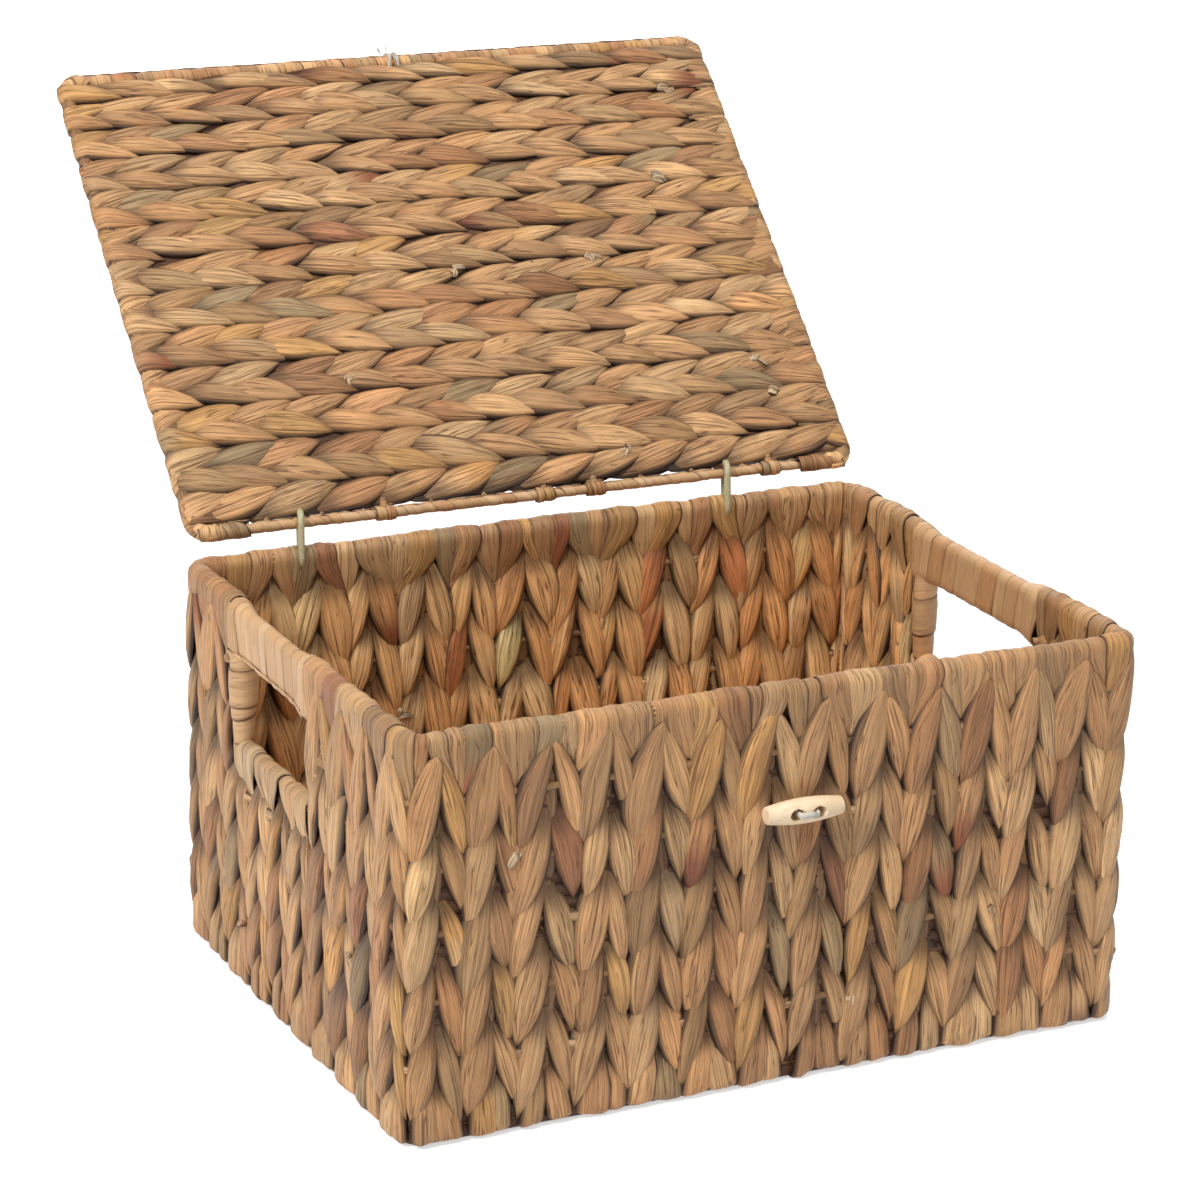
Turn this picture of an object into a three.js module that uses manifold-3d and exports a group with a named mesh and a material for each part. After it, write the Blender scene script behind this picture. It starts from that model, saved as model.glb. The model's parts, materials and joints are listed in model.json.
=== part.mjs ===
// A lidded storage basket: flat dried strands, twined in columns of chevrons over a frame of rods,
// with a grip in each short side, a lid on two wire rings, and a toggle that a cord loop closes over.
// Millimetres. X runs along the width, Y towards the back, Z up; the origin is the underside's centre.

import * as THREE from 'three';
import { mergeVertices } from 'three/addons/utils/BufferGeometryUtils.js';
import Module from 'manifold-3d';

const wasm = await Module();
wasm.setup();

// The basket's walls.
const basketWidth = 400;
const basketDepth = 299;
const wallThick = 13;
const wallCornerRadius = 15;
const creaseDepth = 3.5;
const columnCount = 47;
const strandsAcross = 2;
const crestShares = [0.27, 0.73];
const rimRodHeight = 202;
const rimRollRadius = 6.7;
const rimSkirt = 6;
const floorThick = 13.5;
const floorRowCount = 11;
const floorCreaseDepth = 2.5;

// The frame's rods.
const rodRadius = 1.5;
const topHoopDrop = 23;
const baseRodHeight = 9;
const hoopCount = 5;
const rodSides = 6;
const cornerSteps = 2;
const floorRodSpread = 95;

// The openings in the short sides and the grips over them.
const sillRise = 18.5;
const sillRollRadius = 5.7;
const jambRodInset = 6;
const leftOpeningMiddle = 20.5;
const leftOpeningWidth = 91;
const rightOpeningMiddle = -6.5;
const rightOpeningWidth = 113;
const gripCoreThick = 6;
const gripCoreRound = 2;
const gripWrapThick = 1.3;
const gripWrapPitch = 10.2;
const jambWrapThick = 3.6;
const jambWrapPitch = 7.4;
const sillHold = 15;

// The lid.
const lidSideDrop = 2.5;
const lidFrontDrop = 11;
const lidThick = 12.6;
const lidCornerRadius = 14;
const lidRowCount = 12;
const lidFirstRow = 19.6;
const lidCreaseDepth = 3.4;
const lidRodGap = 8.5;
const lidSideInset = 6.3;
const lidCrossCount = 12;
const lidCrossPitchShare = 0.0785;
const lidCrossOffsetShare = -0.0304;
const lidKnuckleRadius = 5.4;
const lidKnuckleWidth = 12;
const lidKnuckleShares = [-0.2165, 0.3633];
const lidCornerBlock = 32;
const rearWrapThick = 1.3;
const rearWrapPitch = 9.2;
const frontWrapThick = 1.9;
const frontWrapPitch = 14.6;
const openDegrees = 44.1;

// The hinge rings.
const hingeBack = 2.9;
const hingeRise = 17.5;
const ringWireRadius = 1.75;
const ringPlay = 0.5;
const ringShares = [-0.335, 0.29];

// The toggle.
const toggleAcross = 4;
const toggleRise = 2;
const toggleLength = 41;
const toggleRadius = 6.25;
const toggleEndRadius = 4;
const toggleHoleSpacing = 12;
const toggleHoleRadius = 2.7;
const toggleStandOff = 2.6;
const toggleCordWidth = 3.4;
const toggleCordThick = 1.7;
const toggleCordBend = 1.3;
const toggleShankRadius = 2.2;
const toggleShankDepth = 3.2;

// The closing loop and its knot.
const loopAcross = 1.6;
const loopCordRadius = 1;
const knotRadius = 3;
const knotLength = 11;
const knotPast = 1.2;
const knotDrop = 5.1;

// How closely pieces are set, and how far cutters run over.
const fit = 0.3;
const overrun = 5;
const turnGap = 0.7;
const arcSteps = 4;

const quarterTurn = Math.PI / 2;
const fullTurn = Math.PI * 2;

// Materials.
function finish(color, roughness, metalness = 0) {
  return new THREE.MeshStandardMaterial({ color, roughness, metalness });
}
const strandFinish = finish('#c8a578', 0.7);
const innerStrandFinish = finish('#c8915a', 0.7);
const peelFinish = finish('#d7b98c', 0.6);
const rodFinish = finish('#beb996', 0.5, 0.3);
const fillerFinish = finish('#b99a6c', 0.8);
const woodFinish = finish('#ebd2aa', 0.5);
const cordFinish = finish('#eee6d6', 0.9);

const basket = new THREE.Group();
const lid = new THREE.Group();
const model = new THREE.Group();
model.add(basket, lid);

// Turns a closed geometry into a solid that can be joined and cut.
function solidOf(geometry) {
  const bare = geometry.index ? geometry.toNonIndexed() : geometry.clone();
  bare.deleteAttribute('normal');
  bare.deleteAttribute('uv');
  const merged = mergeVertices(bare);
  const mesh = new wasm.Mesh({
    numProp: 3,
    vertProperties: new Float32Array(merged.attributes.position.array),
    triVerts: new Uint32Array(merged.index.array)
  });
  mesh.merge();
  return new wasm.Manifold(mesh);
}

function geometryOf(solid) {
  const mesh = solid.getMesh();
  const geometry = new THREE.BufferGeometry();
  geometry.setAttribute('position', new THREE.BufferAttribute(mesh.vertProperties, mesh.numProp));
  geometry.setIndex(new THREE.BufferAttribute(mesh.triVerts, 1));
  geometry.computeVertexNormals();
  return geometry;
}

function addPiece(group, name, shape, material) {
  const geometry = shape.isBufferGeometry ? shape : geometryOf(shape);
  const mesh = new THREE.Mesh(geometry, material);
  mesh.name = name;
  group.add(mesh);
  return mesh;
}

function joined(solids) {
  return solids.reduce((whole, solid) => whole.add(solid));
}

function without(solid, cutters) {
  return cutters.reduce((left, cutter) => left.subtract(cutter), solid);
}

// Skins a list of rings of points, either into a closed loop or with a cap at each end.
function skin(rings, closed) {
  const count = rings[0].length;
  const positions = rings.flat().flatMap((point) => [point.x, point.y, point.z]);
  const triangles = [];
  const spans = closed ? rings.length : rings.length - 1;
  for (let ring = 0; ring < spans; ring++) {
    const here = ring * count;
    const there = ((ring + 1) % rings.length) * count;
    for (let side = 0; side < count; side++) {
      const next = (side + 1) % count;
      triangles.push(here + side, here + next, there + next);
      triangles.push(here + side, there + next, there + side);
    }
  }
  if (!closed) {
    const last = (rings.length - 1) * count;
    for (let side = 1; side < count - 1; side++) {
      triangles.push(0, side + 1, side);
      triangles.push(last, last + side, last + side + 1);
    }
  }
  if (signedVolume(positions, triangles) < 0) triangles.reverse();
  const geometry = new THREE.BufferGeometry();
  geometry.setAttribute('position', new THREE.Float32BufferAttribute(positions, 3));
  geometry.setIndex(triangles);
  geometry.computeVertexNormals();
  return geometry;
}

function signedVolume(positions, triangles) {
  const corner = (index) => new THREE.Vector3().fromArray(positions, triangles[index] * 3);
  let total = 0;
  for (let index = 0; index < triangles.length; index += 3) {
    total += corner(index).dot(corner(index + 1).cross(corner(index + 2)));
  }
  return total;
}

// A rod from one point to another.
function rod(from, to, radius, sides = rodSides) {
  const along = to.clone().sub(from);
  const geometry = new THREE.CylinderGeometry(radius, radius, along.length(), sides);
  const turn = new THREE.Quaternion();
  turn.setFromUnitVectors(new THREE.Vector3(0, 1, 0), along.clone().normalize());
  geometry.applyQuaternion(turn);
  const middle = from.clone().add(to).multiplyScalar(1 / 2);
  geometry.translate(middle.x, middle.y, middle.z);
  return geometry;
}

function box(lowX, highX, lowY, highY, lowZ, highZ) {
  const geometry = new THREE.BoxGeometry(highX - lowX, highY - lowY, highZ - lowZ);
  geometry.translate((lowX + highX) / 2, (lowY + highY) / 2, (lowZ + highZ) / 2);
  return geometry;
}

// The stations of a rounded rectangle about the origin, each a point and its outward direction.
function roundedRectangle(halfX, halfY, radius, steps = cornerSteps) {
  const signs = [[1, -1], [1, 1], [-1, 1], [-1, -1]];
  return signs.flatMap(([signX, signY], corner) => {
    const centre = new THREE.Vector2(signX * (halfX - radius), signY * (halfY - radius));
    return Array.from({ length: steps + 1 }, (_, step) => {
      const angle = (corner - 1 + step / steps) * quarterTurn;
      const outward = new THREE.Vector2(Math.cos(angle), Math.sin(angle));
      return { point: centre.clone().addScaledVector(outward, radius), outward };
    });
  });
}

// A bar of any section bent along a closed line of stations; the section is counted out and up.
function bentBar(stations, height, section) {
  const rings = stations.map(({ point, outward }) => section.map(({ x, y }) => {
    const place = point.clone().addScaledVector(outward, x);
    return new THREE.Vector3(place.x, place.y, height + y);
  }));
  return skin(rings, true);
}

function hoop(stations, height, radius) {
  const section = Array.from({ length: rodSides }, (_, side) => (
    direction((side / rodSides) * fullTurn).multiplyScalar(radius)
  ));
  return bentBar(stations, height, section);
}

// The walls' plan: a run once round the outer crests, counted from the middle of the front-left corner.
const sideRuns = [basketWidth, basketDepth, basketWidth, basketDepth]
  .map((side) => side - 2 * wallCornerRadius);
const cornerRun = wallCornerRadius * quarterTurn;
const wallRun = sideRuns.reduce((sum, run) => sum + run) + sideRuns.length * cornerRun;
const cornerCentres = [[-1, -1], [1, -1], [1, 1], [-1, 1]].map(([signX, signY]) => new THREE.Vector2(
  signX * (basketWidth / 2 - wallCornerRadius),
  signY * (basketDepth / 2 - wallCornerRadius)
));

function direction(angle) {
  return new THREE.Vector2(Math.cos(angle), Math.sin(angle));
}

// The plan's point at a run. Insets are measured in from the outer crests, the last one on corners.
function wallPoint(run, inset, cornerInset = inset) {
  let rest = THREE.MathUtils.euclideanModulo(run + cornerRun / 2, wallRun);
  for (let side = 0; side < sideRuns.length; side++) {
    const startAngle = (side - 2) * quarterTurn;
    const place = cornerCentres[side].clone();
    if (rest < cornerRun) {
      const outward = direction(startAngle + rest / wallCornerRadius);
      return place.addScaledVector(outward, wallCornerRadius - cornerInset);
    }
    rest -= cornerRun;
    if (rest < sideRuns[side]) {
      place.addScaledVector(direction(startAngle + quarterTurn), wallCornerRadius - inset);
      return place.addScaledVector(direction(startAngle + 2 * quarterTurn), rest);
    }
    rest -= sideRuns[side];
  }
  return cornerCentres[0].clone();
}

const rodInset = wallThick / 2;
const wallMiddleX = basketWidth / 2 - rodInset;
const wallMiddleY = basketDepth / 2 - rodInset;
const rodCornerRadius = wallCornerRadius - rodInset;
const rodLine = roundedRectangle(wallMiddleX, wallMiddleY, rodCornerRadius);
const rimLine = roundedRectangle(wallMiddleX, wallMiddleY, rodCornerRadius, arcSteps + cornerSteps);
const tunnelRadius = rodRadius + fit;

// The inner radius that lets a strip, wound in flat steps, clear the round bar under it.
function clearRadius(bar) {
  return (bar + fit) / Math.cos(Math.PI / (2 * arcSteps));
}
const rodWrapRadius = clearRadius(rodRadius);
const gripWrapRadius = clearRadius(gripCoreThick / 2);
const gripHalfFlat = (topHoopDrop - 2 * rodRadius) / 2;
const gripDrop = gripWrapRadius + gripWrapThick - rodRadius;

// The heights of the five hoops and, last, the base rod.
const topHoopHeight = rimRodHeight - topHoopDrop;
const hoopPitch = (topHoopHeight - baseRodHeight) / hoopCount;
const hoopHeights = Array.from({ length: hoopCount + 1 }, (_, level) => topHoopHeight - level * hoopPitch);
const cutHoopHeight = hoopHeights[1];
const sillRodHeight = hoopHeights[2] + sillRise;

// The two openings: the clear stretch of Y, the rods beside it, and where the wall is cut for it.
function opening(side, middle, width) {
  const front = middle - width / 2;
  const back = middle + width / 2;
  return {
    x: side * wallMiddleX,
    front,
    back,
    frontRod: front - jambRodInset,
    backRod: back + jambRodInset,
    wallBack: back + 2 * jambRodInset
  };
}
const openings = {
  left: opening(-1, leftOpeningMiddle, leftOpeningWidth),
  right: opening(1, rightOpeningMiddle, rightOpeningWidth)
};

// Posts in the corners stand just inside the hoops' bends.
const postRadius = rodCornerRadius - 2 * rodRadius - fit;
const postPlaces = cornerCentres.map((centre, corner) => (
  centre.clone().addScaledVector(direction((corner - 2 + 1 / 2) * quarterTurn), postRadius)
));
const postNames = ['front_left', 'front_right', 'back_right', 'back_left'];
const postBottom = rodRadius;
const postTop = rimRodHeight + rodRadius;

// Rods of the basket's frame, and the tunnels that they need in the weave.
const tunnels = [];

function addHoop(name, height) {
  tunnels.push(solidOf(hoop(rodLine, height, tunnelRadius)));
  addPiece(basket, name, hoop(rodLine, height, rodRadius), rodFinish);
}

function addRod(name, from, to, reach = fit) {
  const along = to.clone().sub(from).normalize();
  const low = from.clone().addScaledVector(along, -reach);
  const high = to.clone().addScaledVector(along, reach);
  tunnels.push(solidOf(rod(low, high, tunnelRadius)));
  addPiece(basket, name, rod(from, to, rodRadius), rodFinish);
}

function buildHoops() {
  addHoop('rim_rod', rimRodHeight);
  hoopHeights.forEach((height, level) => {
    if (height !== cutHoopHeight) {
      addHoop(level === hoopCount ? 'base_rod' : `hoop_${level + 1}`, height);
    }
  });
  buildCutHoop();
}

// The second hoop meets the openings, so it is two bent lengths that stop at the posts beside them.
function buildCutHoop() {
  const whole = solidOf(hoop(rodLine, cutHoopHeight, rodRadius));
  tunnels.push(solidOf(hoop(rodLine, cutHoopHeight, tunnelRadius)));
  const cuts = Object.values(openings).map(({ x, frontRod, wallBack }) => solidOf(box(
    x - rimRollRadius, x + rimRollRadius,
    frontRod - rodRadius - fit, wallBack + fit,
    cutHoopHeight - overrun, cutHoopHeight + overrun
  )));
  const pieces = without(whole, cuts).decompose();
  const frontFirst = pieces.sort((one, other) => one.boundingBox().min[1] - other.boundingBox().min[1]);
  addPiece(basket, 'hoop_2_front', frontFirst[0], rodFinish);
  addPiece(basket, 'hoop_2_back', frontFirst[1], rodFinish);
}

function buildPosts() {
  postPlaces.forEach((place, corner) => {
    const low = new THREE.Vector3(place.x, place.y, postBottom);
    const high = new THREE.Vector3(place.x, place.y, postTop);
    const foot = new THREE.Vector3(place.x, place.y, -overrun);
    tunnels.push(solidOf(rod(foot, new THREE.Vector3(place.x, place.y, postTop + fit), tunnelRadius)));
    addPiece(basket, `post_${postNames[corner]}`, rod(low, high, rodRadius), rodFinish);
  });
}

// Each opening has a rod at either side, from the sill rod up to the first hoop.
function buildOpeningRods() {
  for (const [side, place] of Object.entries(openings)) {
    const { x, frontRod, backRod } = place;
    const low = sillRodHeight + rodRadius + fit;
    const high = topHoopHeight - rodRadius - fit;
    const gripUnder = topHoopHeight - gripDrop - fit;
    const sillFront = new THREE.Vector3(x, frontRod - sillHold, sillRodHeight);
    const sillBack = new THREE.Vector3(x, backRod + sillHold, sillRodHeight);
    addRod(`${side}_sill_rod`, sillFront, sillBack);
    const frontFoot = new THREE.Vector3(x, frontRod, low);
    const backFoot = new THREE.Vector3(x, backRod, low);
    addRod(`${side}_front_jamb`, frontFoot, new THREE.Vector3(x, frontRod, high));
    addRod(`${side}_back_jamb`, backFoot, new THREE.Vector3(x, backRod, gripUnder));
  }
}

function buildFloorRods() {
  const reach = wallMiddleY - rodRadius - fit;
  ['left', 'middle', 'right'].forEach((name, index) => {
    const x = (index - 1) * floorRodSpread;
    const front = new THREE.Vector3(x, -reach, baseRodHeight);
    const back = new THREE.Vector3(x, reach, baseRodHeight);
    addRod(`floor_rod_${name}`, front, back);
  });
}

// The walls in plan: two strands across each column give the rows of crests and creases.
function wallOutline() {
  const strandCount = columnCount * strandsAcross;
  const strandRun = wallRun / strandCount;
  const outer = [];
  const inner = [];
  for (let strand = 0; strand < strandCount; strand++) {
    const crease = strand * strandRun;
    outer.push(wallPoint(crease, creaseDepth));
    inner.push(wallPoint(crease, wallThick - creaseDepth, wallThick));
    for (const share of crestShares) {
      outer.push(wallPoint(crease + share * strandRun, 0));
      inner.push(wallPoint(crease + share * strandRun, wallThick));
    }
  }
  const shape = new THREE.Shape(outer);
  shape.holes.push(new THREE.Path(inner));
  return shape;
}

// A wedge of plan that keeps one wall and leaves a fine gap along each corner's diagonal.
function wallKeeper(side) {
  const alongHalf = side % 2 === 0 ? basketWidth / 2 : basketDepth / 2;
  const outHalf = side % 2 === 0 ? basketDepth / 2 : basketWidth / 2;
  const inward = wallThick + overrun + rimRollRadius;
  const seam = fit / Math.SQRT2;
  const outside = alongHalf + overrun - seam;
  const inside = alongHalf - inward - seam;
  const plan = new THREE.Shape([
    new THREE.Vector2(-outside, -outHalf - overrun),
    new THREE.Vector2(outside, -outHalf - overrun),
    new THREE.Vector2(inside, -outHalf + inward),
    new THREE.Vector2(-inside, -outHalf + inward)
  ]);
  const depth = rimRodHeight + rimRollRadius + 2 * overrun;
  const keeper = new THREE.ExtrudeGeometry(plan, { depth, bevelEnabled: false });
  keeper.translate(0, 0, -overrun);
  keeper.rotateZ(side * quarterTurn);
  return solidOf(keeper);
}

function openingCutter({ x, front, wallBack }) {
  return solidOf(box(
    x - wallThick, x + wallThick,
    front, wallBack,
    sillRodHeight, rimRodHeight + rimRollRadius + overrun
  ));
}

// The strands fold over the rim rod: round above it, straight below.
function rimRoll() {
  const over = Array.from({ length: arcSteps + 1 }, (_, step) => (
    direction((step / arcSteps) * Math.PI).multiplyScalar(rimRollRadius)
  ));
  const under = [-1, 1].map((sign) => new THREE.Vector2(sign * rimRollRadius, -rimSkirt));
  return solidOf(bentBar(rimLine, rimRodHeight, [...over, ...under]));
}

function sillRoll({ x, front, wallBack }) {
  const low = new THREE.Vector3(x, front - overrun, sillRodHeight);
  const high = new THREE.Vector3(x, wallBack + overrun, sillRodHeight);
  return solidOf(rod(low, high, sillRollRadius, 2 * rodSides));
}

function buildWalls() {
  const depth = rimRodHeight - rimSkirt / 2;
  const upright = new THREE.ExtrudeGeometry(wallOutline(), { depth, bevelEnabled: false });
  const ring = solidOf(upright).add(rimRoll());
  const cutters = joined(tunnels);
  const ringSlots = joined(ringPlaces.map((x) => solidOf(hingeRing(x, ringWireRadius + fit))));
  const names = ['front', 'right', 'back', 'left'];
  names.forEach((name, side) => {
    let wall = ring.intersect(wallKeeper(side));
    if (openings[name]) {
      wall = wall.subtract(openingCutter(openings[name])).add(sillRoll(openings[name]));
    }
    wall = wall.subtract(cutters);
    if (name === 'back') wall = wall.subtract(ringSlots);
    if (name === 'front') wall = wall.subtract(shankHole());
    addPiece(basket, `${name}_weave`, wall, name === 'back' ? innerStrandFinish : strandFinish);
  });
}

// The upper line of a weave in profile: each row's strands, with a crest between creases.
function rowProfile(rowEdges, crest, crease) {
  const points = [];
  rowEdges.slice(0, -1).forEach((edge, row) => {
    const strand = (rowEdges[row + 1] - edge) / strandsAcross;
    for (let half = 0; half < strandsAcross; half++) {
      const start = edge + half * strand;
      points.push(new THREE.Vector2(start, crease));
      crestShares.forEach((share) => points.push(new THREE.Vector2(start + share * strand, crest)));
    }
  });
  points.push(new THREE.Vector2(rowEdges[rowEdges.length - 1], crease));
  return points;
}

// The profile lies in Y and Z and runs along X, centred.
function alongX(profile, width) {
  const section = new THREE.Shape(profile);
  const geometry = new THREE.ExtrudeGeometry(section, { depth: width, bevelEnabled: false });
  geometry.applyMatrix4(new THREE.Matrix4().makeBasis(
    new THREE.Vector3(0, 1, 0), new THREE.Vector3(0, 0, 1), new THREE.Vector3(1, 0, 0)
  ));
  geometry.translate(-width / 2, 0, 0);
  return geometry;
}

function buildFloor() {
  const halfX = basketWidth / 2 - wallThick - fit;
  const halfY = basketDepth / 2 - wallThick - fit;
  const row = (2 * halfY) / floorRowCount;
  const edges = Array.from({ length: floorRowCount + 1 }, (_, index) => -halfY + index * row);
  const top = rowProfile(edges, floorThick, floorThick - floorCreaseDepth);
  const profile = [new THREE.Vector2(-halfY, 0), ...top, new THREE.Vector2(halfY, 0)];
  const stations = roundedRectangle(halfX, halfY, wallCornerRadius - wallThick);
  const plan = new THREE.Shape(stations.map(({ point }) => point));
  const keeper = solidOf(new THREE.ExtrudeGeometry(plan, { depth: floorThick, bevelEnabled: false }));
  const slab = solidOf(alongX(profile, 2 * halfX)).intersect(keeper);
  addPiece(basket, 'floor_weave', slab.subtract(joined(tunnels)), innerStrandFinish);
}

// One turn's stations round a flattened bar: two round ends, with a straight run on either flat.
function turnStations(radius, halfFlat) {
  const count = halfFlat > 0 ? arcSteps + 1 : arcSteps;
  return [1, -1].flatMap((end, index) => Array.from({ length: count }, (_, step) => {
    const outward = direction((index + step / arcSteps) * Math.PI);
    return { point: new THREE.Vector2(0, end * halfFlat).addScaledVector(outward, radius), outward };
  }));
}

// A strip wound round a bar that lies along local Z, from the middle of its first turn's width. It goes
// on for a half turn past the last whole one, so both of its ends point along local -Y. Where tail is
// given, each end is a narrow straight run of that length, off the bar.
function winding({ name, radius, halfFlat = 0, thick, pitch, turns, tail = 0 }) {
  const stations = turnStations(radius, halfFlat);
  const width = pitch - turnGap;
  const slope = thick * crestShares[0];
  const shares = [0];
  stations.forEach(({ point }, index) => {
    const next = stations[(index + 1) % stations.length].point;
    shares.push(shares[index] + point.distanceTo(next));
  });
  const turnRun = shares[stations.length];
  const half = stations.length / 2;
  const last = turns * stations.length + half;
  const rings = [];
  const ringAt = (index, back) => {
    const { point, outward } = stations[index % stations.length];
    const wholeTurns = Math.floor(index / stations.length);
    const along = pitch * (wholeTurns + shares[index % stations.length] / turnRun);
    const easing = tail > 0 ? 2 : 0;
    const low = index >= last - easing && easing ? (last - index) / easing : 1;
    const high = index <= easing && easing ? index / easing : 1;
    const lowEdge = along - low * width / 2;
    const highEdge = along + high * width / 2;
    const at = (out, z) => new THREE.Vector3(
      point.x + outward.x * out, point.y + outward.y * out - back, z
    );
    return [at(0, lowEdge), at(0, highEdge), at(thick, highEdge - slope), at(thick, lowEdge + slope)];
  };
  if (tail > 0) rings.push(ringAt(0, tail));
  for (let index = 0; index <= last; index++) rings.push(ringAt(index, 0));
  if (tail > 0) rings.push(ringAt(last, tail));
  console.log(`${name}: least gap between turns ${leastGap(rings, stations.length).toFixed(2)} mm`);
  return skin(rings, false);
}

// The least distance between points of the strip that lie at least half a turn apart along it.
function leastGap(rings, turnRings) {
  const fineness = 4;
  const fine = [];
  for (let ring = 0; ring < rings.length - 1; ring++) {
    for (let part = 0; part < fineness; part++) {
      const share = part / fineness;
      const following = rings[ring + 1];
      const corners = rings[ring].map((corner, index) => corner.clone().lerp(following[index], share));
      fine.push(corners.flatMap((corner, index) => {
        const next = corners[(index + 1) % corners.length];
        return [corner, corner.clone().lerp(next, 1 / 3), corner.clone().lerp(next, 2 / 3)];
      }));
    }
  }
  fine.push(rings[rings.length - 1]);
  const nearest = Math.floor(turnRings * fineness / 2);
  const furthest = Math.ceil(turnRings * fineness * 3 / 2);
  let least = Infinity;
  fine.forEach((ring, index) => {
    fine.slice(index + nearest, index + furthest).forEach((other) => {
      ring.forEach((point) => other.forEach((far) => {
        least = Math.min(least, point.distanceTo(far));
      }));
    });
  });
  return least;
}

// Places a winding: its bar's direction, the side that its ends point to, and its first turn's middle.
function placeWinding(geometry, along, towards, start) {
  const up = towards.clone().negate();
  const side = up.clone().cross(along);
  geometry.applyMatrix4(new THREE.Matrix4().makeBasis(side, up, along));
  geometry.translate(start.x, start.y, start.z);
  return geometry;
}

function turnsIn(run, pitch) {
  return Math.floor(run / pitch - 1 / 2);
}

// A grip is a flat filler between the rim rod and the first hoop, and a strip wound round all three.
function buildGrips() {
  const middle = (rimRodHeight + topHoopHeight) / 2;
  const halfTall = (rimRodHeight - topHoopHeight) / 2 - rodRadius - fit;
  const stations = roundedRectangle(gripCoreThick / 2, halfTall, gripCoreRound);
  for (const [side, { x, front, wallBack }] of Object.entries(openings)) {
    const low = front + fit;
    const high = wallBack - fit;
    const section = new THREE.Shape(stations.map(({ point }) => point));
    const core = new THREE.ExtrudeGeometry(section, { depth: high - low, bevelEnabled: false });
    core.rotateX(quarterTurn);
    core.translate(x, high, middle);
    addPiece(basket, `${side}_grip_core`, core, fillerFinish);

    const turns = turnsIn(high - low, gripWrapPitch);
    const pitch = (high - low) / (turns + 3 / 2);
    const wrap = winding({
      name: `${side}_grip_wrap`, radius: gripWrapRadius, halfFlat: gripHalfFlat, thick: gripWrapThick,
      pitch, turns
    });
    const start = new THREE.Vector3(x, low + pitch / 2, middle);
    placeWinding(wrap, new THREE.Vector3(0, 1, 0), new THREE.Vector3(0, 0, -1), start);
    addPiece(basket, `${side}_grip_wrap`, wrap, peelFinish);
  }
}

// The post at the back of each opening is wound, and the strip's ends go straight into the wall.
function buildJambWraps() {
  const low = sillRodHeight + sillRollRadius + fit;
  const high = topHoopHeight - gripDrop - fit;
  for (const [side, { x, backRod, wallBack }] of Object.entries(openings)) {
    const turns = turnsIn(high - low, jambWrapPitch);
    const pitch = (high - low) / (turns + 3 / 2);
    const wrap = winding({
      name: `${side}_jamb_wrap`, radius: rodWrapRadius, thick: jambWrapThick,
      pitch, turns, tail: wallBack - backRod - fit
    });
    const start = new THREE.Vector3(x, backRod, low + pitch / 2);
    placeWinding(wrap, new THREE.Vector3(0, 0, 1), new THREE.Vector3(0, 1, 0), start);
    addPiece(basket, `${side}_jamb_wrap`, wrap, peelFinish);
  }
}

// The rear rod of the lid turns in two long wire rings that also hold the rim rod.
const ringPlaces = ringShares.map((share) => share * basketWidth);
const hingeY = wallMiddleY + hingeBack;
const hingeZ = rimRodHeight + hingeRise;
const ringRadius = rodWrapRadius + rearWrapThick + ringPlay + ringWireRadius;

function hingeRing(x, wireRadius) {
  const bendSteps = arcSteps + cornerSteps;
  const lean = Math.atan2(-hingeBack, hingeRise);
  const ends = [
    { y: hingeY, z: hingeZ, from: 0 },
    { y: wallMiddleY, z: rimRodHeight, from: Math.PI }
  ];
  const rings = ends.flatMap(({ y, z, from }) => Array.from({ length: bendSteps + 1 }, (_, step) => {
    const outward = direction(lean + from + (step / bendSteps) * Math.PI);
    return Array.from({ length: rodSides }, (_, side) => {
      const angle = (side / rodSides) * fullTurn;
      const out = ringRadius + wireRadius * Math.cos(angle);
      const across = x + wireRadius * Math.sin(angle);
      return new THREE.Vector3(across, y + outward.x * out, z + outward.y * out);
    });
  }));
  return skin(rings, true);
}

function buildHingeRings() {
  ['left', 'right'].forEach((name, index) => {
    addPiece(basket, `hinge_ring_${name}`, hingeRing(ringPlaces[index], ringWireRadius), rodFinish);
  });
}

const lidWidth = basketWidth - 2 * lidSideDrop;
const lidReach = basketDepth - lidFrontDrop;
const lidKnucklePlaces = lidKnuckleShares.map((share) => share * lidWidth);

// The lid is built flat: X along the hinge, Y from the rear rod to the front edge, Z out of the side
// that faces down when it is shut.
const frontRodY = lidReach - rodWrapRadius - frontWrapThick;
const lidFrontY = frontRodY - rodWrapRadius - frontWrapThick - fit;
const lidRodX = lidWidth / 2 - lidSideInset;
const lidRodLine = roundedRectangle(lidRodX, frontRodY / 2, lidCornerRadius - lidSideInset);
lidRodLine.forEach(({ point }) => { point.y += frontRodY / 2; });

function lidCrossPlaces() {
  return Array.from({ length: lidCrossCount }, (_, index) => (
    ((index - (lidCrossCount - 1) / 2) * lidCrossPitchShare + lidCrossOffsetShare) * lidWidth
  ));
}

// A cross rod runs from one wound rod to the other.
function lidCross(x, radius, reach) {
  const low = rodWrapRadius + rearWrapThick + fit - reach;
  const high = lidFrontY + reach;
  return rod(new THREE.Vector3(x, low, 0), new THREE.Vector3(x, high, 0), radius);
}

function buildLidRods() {
  addPiece(lid, 'lid_rim_rod', hoop(lidRodLine, 0, rodRadius), rodFinish);
  lidCrossPlaces().forEach((x, index) => {
    addPiece(lid, `lid_cross_rod_${index + 1}`, lidCross(x, rodRadius, 0), rodFinish);
  });
}

function lidRowEdges() {
  const run = lidFrontY - lidRodGap;
  const growth = 2 * (run / lidRowCount - lidFirstRow) / (lidRowCount - 1);
  const edges = [lidFrontY];
  for (let row = 0; row < lidRowCount; row++) {
    edges.push(edges[row] - lidFirstRow - row * growth);
  }
  return edges.reverse();
}

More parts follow.
